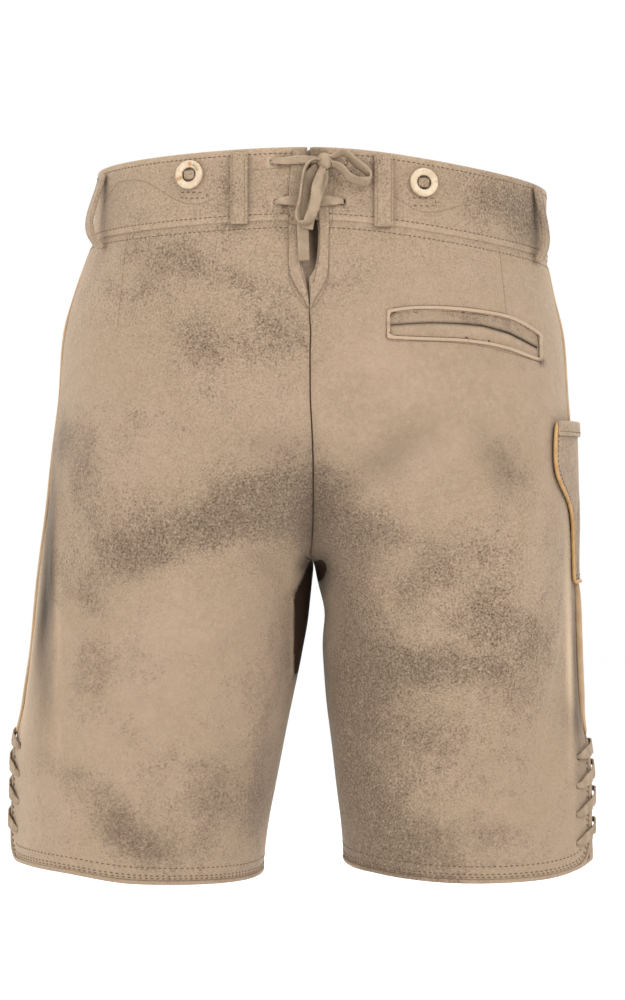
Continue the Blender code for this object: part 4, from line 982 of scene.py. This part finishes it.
def inside_shade(points):
    """The painted shade on the inside of the left leg, where it shows behind the back panel, less a
    painted highlight on the panel's edge before it.
    """
    u, v = seen(points)
    at_edge, at_middle = INSIDE_TOPS
    top = at_middle + (at_edge - at_middle) * u / INSIDE_EDGE
    inside = ramp(u, 0, 1.5) * ramp(INSIDE_EDGE - u, 0, 0.9) * ramp(top - v, 0, 2.5)
    pale = np.exp(-(((u - INSIDE_EDGE - 1.2) / 0.9) ** 2)) * ramp(top - v, -2, 4)
    ends = 1 - ramp(INSIDE_END - v, -14, 4)
    return (INSIDE_DARK * inside - INSIDE_PALE * pale) * ends * (points[:, 0] > 0)


def slit_shade(points):
    """The painted shade beside the slit of the seat pocket, where its opening is dark."""
    x, y, z = points.T / MM
    line = np.array(SLIT)[::-1]
    away = np.abs(z - np.interp(x, line[:, 0], line[:, 1]))
    start, end = SLIT_DARK
    strength = start + (end - start) * ramp(-x, 80, 150)
    return strength * np.exp(-((away / 1.25) ** 2))


STRIP_SHARP = 40  # the least angle in degrees at a strip's long edges


def leather_strip(node, materials, soft=0.55, level=2, extra=0.0, cut_below=0.0, shading_added=0.0,
                  reshape=None):
    """A strip or roll of leather: its solid with softly rounded edges. Faces narrower than
    cut_below, in mm, are its cut edge and take the second material."""
    mesh = welded(node)
    crease = mesh.edges.layers.float.new("crease_edge")
    for edge in mesh.edges:
        if len(edge.link_faces) == 2 and edge.calc_face_angle(0) > math.radians(STRIP_SHARP):
            edge[crease] = soft
    if cut_below:
        for face in mesh.faces:
            sharp = [e for e in face.edges if e[crease] > 0]
            if len(sharp) == 2:
                a, b = ((e.verts[0].co + e.verts[1].co) / 2 for e in sharp)
                face.material_index = int((a - b).length < cut_below * MM)
    obj = refined(node + "_leather", mesh, level)
    points = values_of(obj.data.vertices, "co")
    if reshape:
        points = reshape(points)
        write_points(obj, points)
    # The seat pocket's pieces get painted shade beside the slit
    paint(obj, extra, shading_added + slit_shade(points) if node.startswith("pocket") else shading_added)
    remember(node, obj)
    return finish_piece(obj, [node], materials)


# ---------------------------------------------------------------- stitches


FLATNESS, LIFT = 0.7, 0.12  # a stitch's height, and how far it is lifted, against its width


def stitch_form():
    """One stitch: a short length of thread, round and a little flat, along X."""
    mesh = bmesh.new()
    bmesh.ops.create_uvsphere(mesh, u_segments=6, v_segments=4, radius=0.5)
    bmesh.ops.rotate(mesh, matrix=Matrix.Rotation(math.pi / 2, 3, "Y"), verts=mesh.verts)
    bmesh.ops.triangulate(mesh, faces=mesh.faces[:])
    points = np.array([v.co for v in mesh.verts])
    faces = np.array([[v.index for v in f.verts] for f in mesh.faces])
    mesh.free()
    return points, faces


def along_row(places, normals, pitch):
    """Stitch places, directions and normals at an even pitch along a row."""
    places, normals = np.array(places, float), np.array(normals, float)
    steps = np.linalg.norm(np.diff(places, axis=0), axis=1)
    way = np.concatenate([[0], np.cumsum(steps)])
    count = int(way[-1] / pitch)
    if count < 1:
        return np.zeros((0, 3)), np.zeros((0, 3)), np.zeros((0, 3))
    at = (np.arange(count) + 0.5) * way[-1] / count
    def read(values, where):
        return np.stack([np.interp(where, way, values[:, k]) for k in range(3)], axis=1)
    place, normal = read(places, at), read(normals, at)
    ahead = read(places, at + pitch / 3) - read(places, at - pitch / 3)
    return place, ahead, normal


def unit(vectors):
    return vectors / np.maximum(np.linalg.norm(vectors, axis=1, keepdims=True), 1e-9)


def stitches(name, rows, style):
    """All the stitches of some rows in one mesh. A row is (places, normals)."""
    s = settings()
    length, pitch, width, thread = STITCH_STYLES[style]
    length, pitch, width = length * s.stitch_length, pitch * s.stitch_pitch, width * s.thread_width
    form, form_faces = stitch_form()
    points, faces = [], []
    count = 0
    for places, normals in rows:
        if len(places) < 2:
            raise RuntimeError(f"a row of the {name} lies on nothing")
        place, ahead, normal = along_row(places, normals, pitch)
        if not len(place):
            continue
        ahead, normal = unit(ahead), unit(normal)
        aside = unit(np.cross(normal, ahead))
        normal = np.cross(ahead, aside)
        made = (
            place[:, None]
            + ahead[:, None] * form[None, :, :1] * length
            + aside[:, None] * form[None, :, 1:2] * width
            + normal[:, None] * (form[None, :, 2:] * FLATNESS * width + LIFT * width)
        )
        points.append(made.reshape(-1, 3))
        number = np.arange(len(place)) * len(form) + count
        faces.append((form_faces[None] + number[:, None, None]).reshape(-1, 3))
        count += len(place) * len(form)
    data = bpy.data.meshes.new(name)
    data.from_pydata(np.concatenate(points).tolist(), [], np.concatenate(faces).tolist())
    return finish_piece(placed(name, data), [], [thread])


def smooth_line(points, rounds=2):
    points = np.array(points, float)
    for _ in range(rounds):
        points[1:-1] = (points[:-2] + 2 * points[1:-1] + points[2:]) / 4
    return points


HEM_LEVEL = -0.398  # the hems lie below this
# Which parts of a border count as an edge of a name, by their place and the way into the wall
EDGE_TESTS = {
    "top": lambda p, into: into.z < -0.6,
    "bottom": lambda p, into: into.z > 0.6,
    "low": lambda p, into: p.z < HEM_LEVEL and into.z > 0.6,
    "hem": lambda p, into: p.z < HEM_LEVEL and (into.z > 0.5 or abs(p.x) > 0.13),
    "sides": lambda p, into: into.z > -0.6,
}


def run_length(run):
    return sum((a[0] - b[0]).length for a, b in zip(run, run[1:]))


def edge_row(piece, where, inset):
    """A row set in from the longest run of a piece's edge that passes a test."""
    test, best = EDGE_TESTS[where], []
    for border in BORDERS[piece]:
        flags = [test(p, into) for p, into in border]
        if all(flags):
            runs = [border]
        else:
            start = next((k for k in range(len(flags)) if flags[k] and not flags[k - 1]), None)
            if start is None:
                continue
            turned = border[start:] + border[:start]
            runs, run = [], []
            for p, into in turned:
                if test(p, into):
                    run.append((p, into))
                else:
                    runs.append(run)
                    run = []
            runs.append(run)
        best = max([best, *runs], key=run_length)
    if len(best) < 3:
        raise RuntimeError(f"{piece} has no edge at its {where}")
    into = smooth_line([d for _, d in best], 6)
    line = smooth_line(np.array([p for p, _ in best]) + into * inset * MM, 4)
    places, normals = [], []
    for point in line:
        place, normal, _, _ = SKINS[piece].find_nearest(Vector(point))
        places.append(place)
        normals.append(normal)
    return places, normals


def laid_on(face, pieces, line):
    """A line of points laid on the outermost of some pieces, seen from behind or in front."""
    eye = EYE if face == "back" else Vector((EYE.x, -EYE.y, EYE.z))
    places, normals = [], []
    for u, v in line:
        ray = (Vector((u * MM, 0, v * MM)) - eye).normalized()
        best = None
        for piece in pieces:
            hit = SKINS[piece].ray_cast(eye, ray)
            if hit[0] is not None and (best is None or hit[3] < best[3]):
                best = hit
        if best is not None:
            places.append(best[0])
            normals.append(best[1])
    return places, normals


# Down a belt loop, in mm: how far the rows stay from its ends, their step, and how far up and down
# the loop's middle is read
LOOP_TOP, LOOP_BOTTOM, LOOP_STEP, LOOP_READ = 2.5, 1.5, 2, 3
LOOP_INSET = 2.4  # how far in from the loop's long edges they run


def rows_down_loop(node, inset):
    """Two rows down a belt loop, each set in from one of its long edges."""
    points = values_of(NODES[node].data.vertices, "co")
    outward = Vector((0, 0, 0))
    for face in NODES[node].data.polygons:
        if face.normal.dot(face.center) > 0 and abs(face.normal.z) < 0.5:
            outward += face.normal * face.area
    outward = Vector((outward.x, outward.y, 0)).normalized()
    aside = outward.cross(Vector((0, 0, 1)))
    top, bottom = points[:, 2].max() - LOOP_TOP * MM, points[:, 2].min() + LOOP_BOTTOM * MM
    heights = np.arange(top, bottom, -LOOP_STEP * MM)
    near = np.exp(-((heights[:, None] - points[None, :, 2]) / (LOOP_READ * MM)) ** 2)
    middles = near @ points / near.sum(axis=1, keepdims=True)
    at_end = near[0] > 0.5
    half = np.abs((points[at_end] - middles[0]) @ np.array(aside)).max() - inset * MM
    rows = []
    for way in (-half, half):
        places, normals = [], []
        for middle, z in zip(middles, heights):
            start = Vector((middle[0], middle[1], z)) + aside * way + outward * 0.03
            place, normal, _, _ = SKINS[node].ray_cast(start, -outward)
            if place is not None:
                places.append(place)
                normals.append(normal)
        rows.append((places, normals))
    return rows


LINE_STEP = 2.0  # from point to point along a drawn line


def through(points):
    """A smooth line through points, read every LINE_STEP mm."""
    points = np.array(points, float)
    ends = np.vstack([2 * points[0] - points[1], points, 2 * points[-1] - points[-2]])
    line = []
    for k in range(len(points) - 1):
        a, b, c, d = ends[k:k + 4]
        for t in np.arange(0, 1, LINE_STEP / max(LINE_STEP, np.linalg.norm(c - b))):
            line.append(0.5 * (2 * b + (c - a) * t + (2 * a - 5 * b + 4 * c - d) * t * t
                               + (3 * b - a - 3 * c + d) * t ** 3))
    line.append(points[-1])
    return np.array(line)


# ---------------------------------------------------------------- properties and operators


def colour_setting(name, what, code):
    return FloatVectorProperty(
        name=name, description="Colour of " + what, subtype="COLOR", default=linear(code))


def size_setting(name, what, default):
    return FloatProperty(
        name=name, description=what, default=default * MM, unit="LENGTH", subtype="DISTANCE")


class LederhosenLooks(bpy.types.PropertyGroup):
    """Colours and sizes of the finish."""

    suede: colour_setting("Suede", "the clean nap", "#907C66")
    suede_rosy: colour_setting("Rosy suede", "the warmer clouds in the nap", "#9B8470")
    suede_pale: colour_setting("Pale nap", "the tips of the nap", "#A6927D")
    suede_worn: colour_setting("Worn suede", "the darkened places", "#5E5042")
    suede_grain: colour_setting("Grain", "the dark specks", "#463423")
    thread: colour_setting("Thread", "the stitches of seams and hems", "#4A3828")
    fine_thread: colour_setting("Fine thread", "the decorative stitches", "#6A5542")
    stitch_length: size_setting("Stitch length", "Length of one stitch", 2.6)
    stitch_pitch: size_setting("Stitch pitch", "Distance from one stitch to the next", 3.6)
    thread_width: size_setting("Thread width", "Width of the sewing thread", 0.75)
    button_segments: IntProperty(
        name="Button segments", description="Steps round a button", default=48, min=16)


SENSOR, VIEW_HEIGHT = 36, 0.74  # the sensor in mm, and how much it sees at the garment in metres
LIT, FLOOR = (0, 0, -0.24), -0.75  # where the lights aim, and the floor's height, in metres
# Columns: light, place in metres, diameter in metres, power in watts
LIGHTS = (
    ("key light", (-1.5, 2.4, 1.7), 1.8, 42),
    ("fill light", (1.9, 2.2, 0.5), 2.0, 22),
    ("top light", (0.2, -0.2, 2.4), 2.2, 26),
    ("back light", (-0.8, -2.4, 1.3), 2.2, 30),
    ("side light", (2.2, -1.4, 0.6), 1.6, 14),
)


class LEDERHOSEN_OT_stage(bpy.types.Operator):
    """Sets the camera, the soft studio lights and the pale floor"""

    bl_idname = "lederhosen.stage"
    bl_label = "Stage"

    def execute(self, context):
        scene = context.scene
        camera = bpy.data.cameras.new("camera")
        camera.sensor_fit = "VERTICAL"
        camera.sensor_height = camera.sensor_width = SENSOR
        camera.lens = SENSOR * EYE.y / VIEW_HEIGHT
        camera.clip_end = 50
        eye = placed("camera", camera)
        eye.location = EYE
        eye.rotation_euler = (math.pi / 2, 0, math.pi)
        scene.camera = eye
        scene.view_settings.view_transform = "Standard"

        for name, place, size, power in LIGHTS:
            light = bpy.data.lights.new(name, "AREA")
            light.shape = "DISK"
            light.size = size
            light.energy = power
            lamp = placed(name, light)
            lamp.location = place
            aim = Vector(LIT) - Vector(place)
            lamp.rotation_euler = aim.to_track_quat("-Z", "Y").to_euler()

        world = bpy.data.worlds.new("studio")
        scene.world = world
        world.use_nodes = True
        sky = world.node_tree.nodes["Background"]
        sky.inputs[0].default_value = (1, 1, 1, 1)
        sky.inputs[1].default_value = 1.0

        disc = bmesh.new()
        bmesh.ops.create_circle(disc, cap_ends=True, segments=96, radius=9)
        bmesh.ops.translate(disc, vec=(0, 0, FLOOR), verts=disc.verts)
        floor = placed("floor", closed(disc, bpy.data.meshes.new("floor")))
        floor.data.materials.append(MATERIALS["floor"])
        return {"FINISHED"}


def flat_lace(node, reshape=None):
    return leather_strip(
        node, ["lace", "cut"], 0.7, cut_below=2.0, reshape=reshape)


class LEDERHOSEN_OT_bow(bpy.types.Operator):
    """Makes the lace of the back opening, its knot, its loops and its two free ends"""

    bl_idname = "lederhosen.bow"
    bl_label = "Back lace and bow"

    def execute(self, context):
        for node in ("back_lace", "bow_loop_left", "bow_loop_right", "bow_knot"):
            flat_lace(node)
        for side in SIDES:
            node = "lace_tail_" + side
            tail = flat_lace(node)
        return {"FINISHED"}


class LEDERHOSEN_OT_panels(bpy.types.Operator):
    """Makes the four leg panels, creased and worn"""

    bl_idname = "lederhosen.panels"
    bl_label = "Leg panels"

    def execute(self, context):
        for node in PANELS:
            leather_wall(node, 1.8, side=LEFT if node.endswith("left") else RIGHT)
        return {"FINISHED"}


class LEDERHOSEN_OT_waistband(bpy.types.Operator):
    """Makes the waistband and the leather round the opening at the back"""

    bl_idname = "lederhosen.waistband"
    bl_label = "Waistband and back opening"

    def execute(self, context):
        for node in BANDS:
            leather_wall(node, 3.0)
        # The gusset is painted paler: painted highlight where light falls on its lower part
        leather_wall("vent_gusset", 1.8, extra=-0.3)
        for side in SIDES:
            leather_strip("vent_strip_" + side, ["suede"], 0.45, reshape=open_vent)
        return {"FINISHED"}


PIPING_OUT = 2.2  # how far the piping's outer side stands out below the knife pocket
ROUND = 41  # how many of its points, in order of height, give its middle


def stand_out(points):
    """Lets the piping's outer side stand out from the seam below the knife pocket."""
    moved = points.copy()
    x, _, z = points.T / MM
    order, window = np.argsort(z), np.ones(ROUND) / ROUND
    heights, middles = (np.convolve(values[order], window, "valid") for values in (z, x))
    middle = np.interp(z, heights, middles)
    share = ramp(middle - x, -0.7, 0.7) * ramp(-z, 252, 290) * (1 - ramp(-z, 352, 388))
    moved[:, 0] -= PIPING_OUT * MM * share
    return moved


class LEDERHOSEN_OT_trim(bpy.types.Operator):
    """Makes the bound hems, the piping of the side seams and the belt loops"""

    bl_idname = "lederhosen.trim"
    bl_label = "Hems, piping and belt loops"

    def execute(self, context):
        for panel in PANELS:
            leather_strip("hem_" + panel, ["suede"], 0.25)
        for side in SIDES:
            leather_strip(
                "side_piping_" + side, ["tan"], 0.0, 1,
                reshape=stand_out if side == "right" else None)
        for node in LOOPS:
            leather_strip(node, ["suede"], 0.5)
        return {"FINISHED"}


class LEDERHOSEN_OT_pockets(bpy.types.Operator):
    """Makes the drop front, the seat pocket and the knife pocket"""

    bl_idname = "lederhosen.pockets"
    bl_label = "Flap and pockets"

    def execute(self, context):
        leather_wall("front_flap", 2.0)
        leather_strip("pocket_facing", ["suede"], 0.8, 3, extra=0.45)
        leather_strip("pocket_welt", ["suede"], 0.8, 3, extra=-0.3)
        # The lip is worn pale and given painted highlight along its raised edge
        leather_strip("pocket_lip", ["suede"], 0.6, 2, extra=-0.3, shading_added=-0.32)
        leather_wall("knife_pocket", 1.6, extra=0.35)
        leather_wall("knife_pocket_hem", 1.6, extra=0.35)
        leather_strip("knife_pocket_piping", ["piping"], 0.0, 1)
        return {"FINISHED"}


class LEDERHOSEN_OT_buttons(bpy.types.Operator):
    """Makes the horn buttons and the leather tongues that hold them"""

    bl_idname = "lederhosen.buttons"
    bl_label = "Buttons"

    def execute(self, context):
        for group in ("brace_button_back", "brace_button_front", "flap_button"):
            for side in SIDES:
                node = f"{group}_{side}"
                points = values_of(NODES[node].data.vertices, "co")
                centre = (points.min(axis=0) + points.max(axis=0)) / 2
                turned = np.linalg.svd(points - points.mean(axis=0), full_matrices=False)[2]
                out = Vector(turned[2])
                if out.y * centre[1] < 0:
                    out = -out
                across = (points - centre) @ turned[0]
                depth = (points - centre) @ np.array(out)
                radius = np.abs(across).max() * HORN_SHARE
                make_button(node, Vector(centre), out, radius, np.ptp(depth))
                leather_strip(node.replace("button", "tongue"), ["suede"], 0.5, extra=0.3)
        return {"FINISHED"}


HORN_SHARE = 1.04  # the horn's radius against that of its plainer solid
# A section of a button's ring, against its radius and half its thickness
BUTTON_SECTION = (
    (0.52, -0.9), (0.50, 0.0), (0.52, 0.55), (0.58, 0.72), (0.69, 0.64), (0.80, 0.78),
    (0.90, 1.0), (0.97, 0.72), (1.0, 0.2), (0.98, -0.5), (0.90, -0.95), (0.70, -1.0),
)


def make_button(node, centre, out, radius, thickness):
    """A turned horn ring: a raised rim, a dished face and a round hole."""
    half = thickness / 2
    mesh = bmesh.new()
    verts = [mesh.verts.new((radius * r, 0, half * h)) for r, h in BUTTON_SECTION]
    edges = [mesh.edges.new((a, b)) for a, b in zip(verts, verts[1:] + verts[:1])]
    bmesh.ops.spin(
        mesh, geom=verts + edges, cent=(0, 0, 0), axis=(0, 0, 1), angle=2 * math.pi,
        steps=settings().button_segments, use_merge=True,
    )
    bmesh.ops.recalc_face_normals(mesh, faces=mesh.faces[:])
    turn = out.to_track_quat("Z", "Y").to_matrix().to_4x4()
    bmesh.ops.transform(mesh, matrix=Matrix.Translation(centre) @ turn, verts=mesh.verts)
    obj = placed(node + "_horn", closed(mesh, bpy.data.meshes.new(node + "_horn")))
    u, v = seen(values_of(obj.data.vertices, "co"))
    for mark in ("amber", "olive"):
        total = np.zeros(len(u))
        for kind, u0, v0, size in HORN_MARKS:
            if kind == mark:
                total += np.exp(-(((u - u0) ** 2 + (v - v0) ** 2) / size ** 2) ** 2)
        write_values(obj.data, mark, total * (centre.y > 0))
    return finish_piece(obj, [node], ["horn"])


class LEDERHOSEN_OT_side_laces(bpy.types.Operator):
    """Makes the lacing of the slit at the side of each leg"""

    bl_idname = "lederhosen.side_laces"
    bl_label = "Side lacing"

    def execute(self, context):
        for side in SIDES:
            flat_lace("side_lace_" + side, reshape=pulled_close)
        return {"FINISHED"}


class LEDERHOSEN_OT_stitching(bpy.types.Operator):
    """Sews the rows of stitches"""

    bl_idname = "lederhosen.stitching"
    bl_label = "Stitching"

    def execute(self, context):
        rows = {style: [] for style in STITCH_STYLES}
        for style, pieces, where, inset in EDGE_ROWS:
            rows[style] += [edge_row(piece, where, inset) for piece in pieces]
        for (style, face), lines in FREE_ROWS.items():
            pieces = [p for p in (*BANDS, *PANELS) if face in p]
            if face == "back":
                pieces += ["vent_strip_left", "vent_strip_right"]
            rows[style] += [laid_on(face, pieces, through(line)) for line in lines]
        for node in LOOPS:
            rows["line"] += rows_down_loop(node, LOOP_INSET)
        for style, group in rows.items():
            stitches(style + "_stitches", group, style)
        return {"FINISHED"}


class LEDERHOSEN_PT_looks(bpy.types.Panel):
    """Lists the steps and the settings"""

    bl_label = "Lederhosen"
    bl_idname = "LEDERHOSEN_PT_looks"
    bl_space_type = "VIEW_3D"
    bl_region_type = "UI"
    bl_category = "Lederhosen"

    def draw(self, context):
        for name in LederhosenLooks.__annotations__:
            self.layout.prop(context.scene.lederhosen_looks, name)
        for step in STEPS:
            self.layout.operator(step.bl_idname)


STEPS = (
    LEDERHOSEN_OT_stage, LEDERHOSEN_OT_bow, LEDERHOSEN_OT_panels, LEDERHOSEN_OT_waistband,
    LEDERHOSEN_OT_trim, LEDERHOSEN_OT_pockets, LEDERHOSEN_OT_buttons, LEDERHOSEN_OT_side_laces,
    LEDERHOSEN_OT_stitching,
)
CLASSES = (LederhosenLooks, *STEPS, LEDERHOSEN_PT_looks)


def register():
    for cls in CLASSES:
        bpy.utils.register_class(cls)
    bpy.types.Scene.lederhosen_looks = PointerProperty(type=LederhosenLooks)


def unregister():
    del bpy.types.Scene.lederhosen_looks
    for cls in reversed(CLASSES):
        bpy.utils.unregister_class(cls)


def main():
    register()
    make_materials()
    for step in STEPS:
        group, name = step.bl_idname.split(".")
        getattr(getattr(bpy.ops, group), name)()


if __name__ == "__main__":
    main()
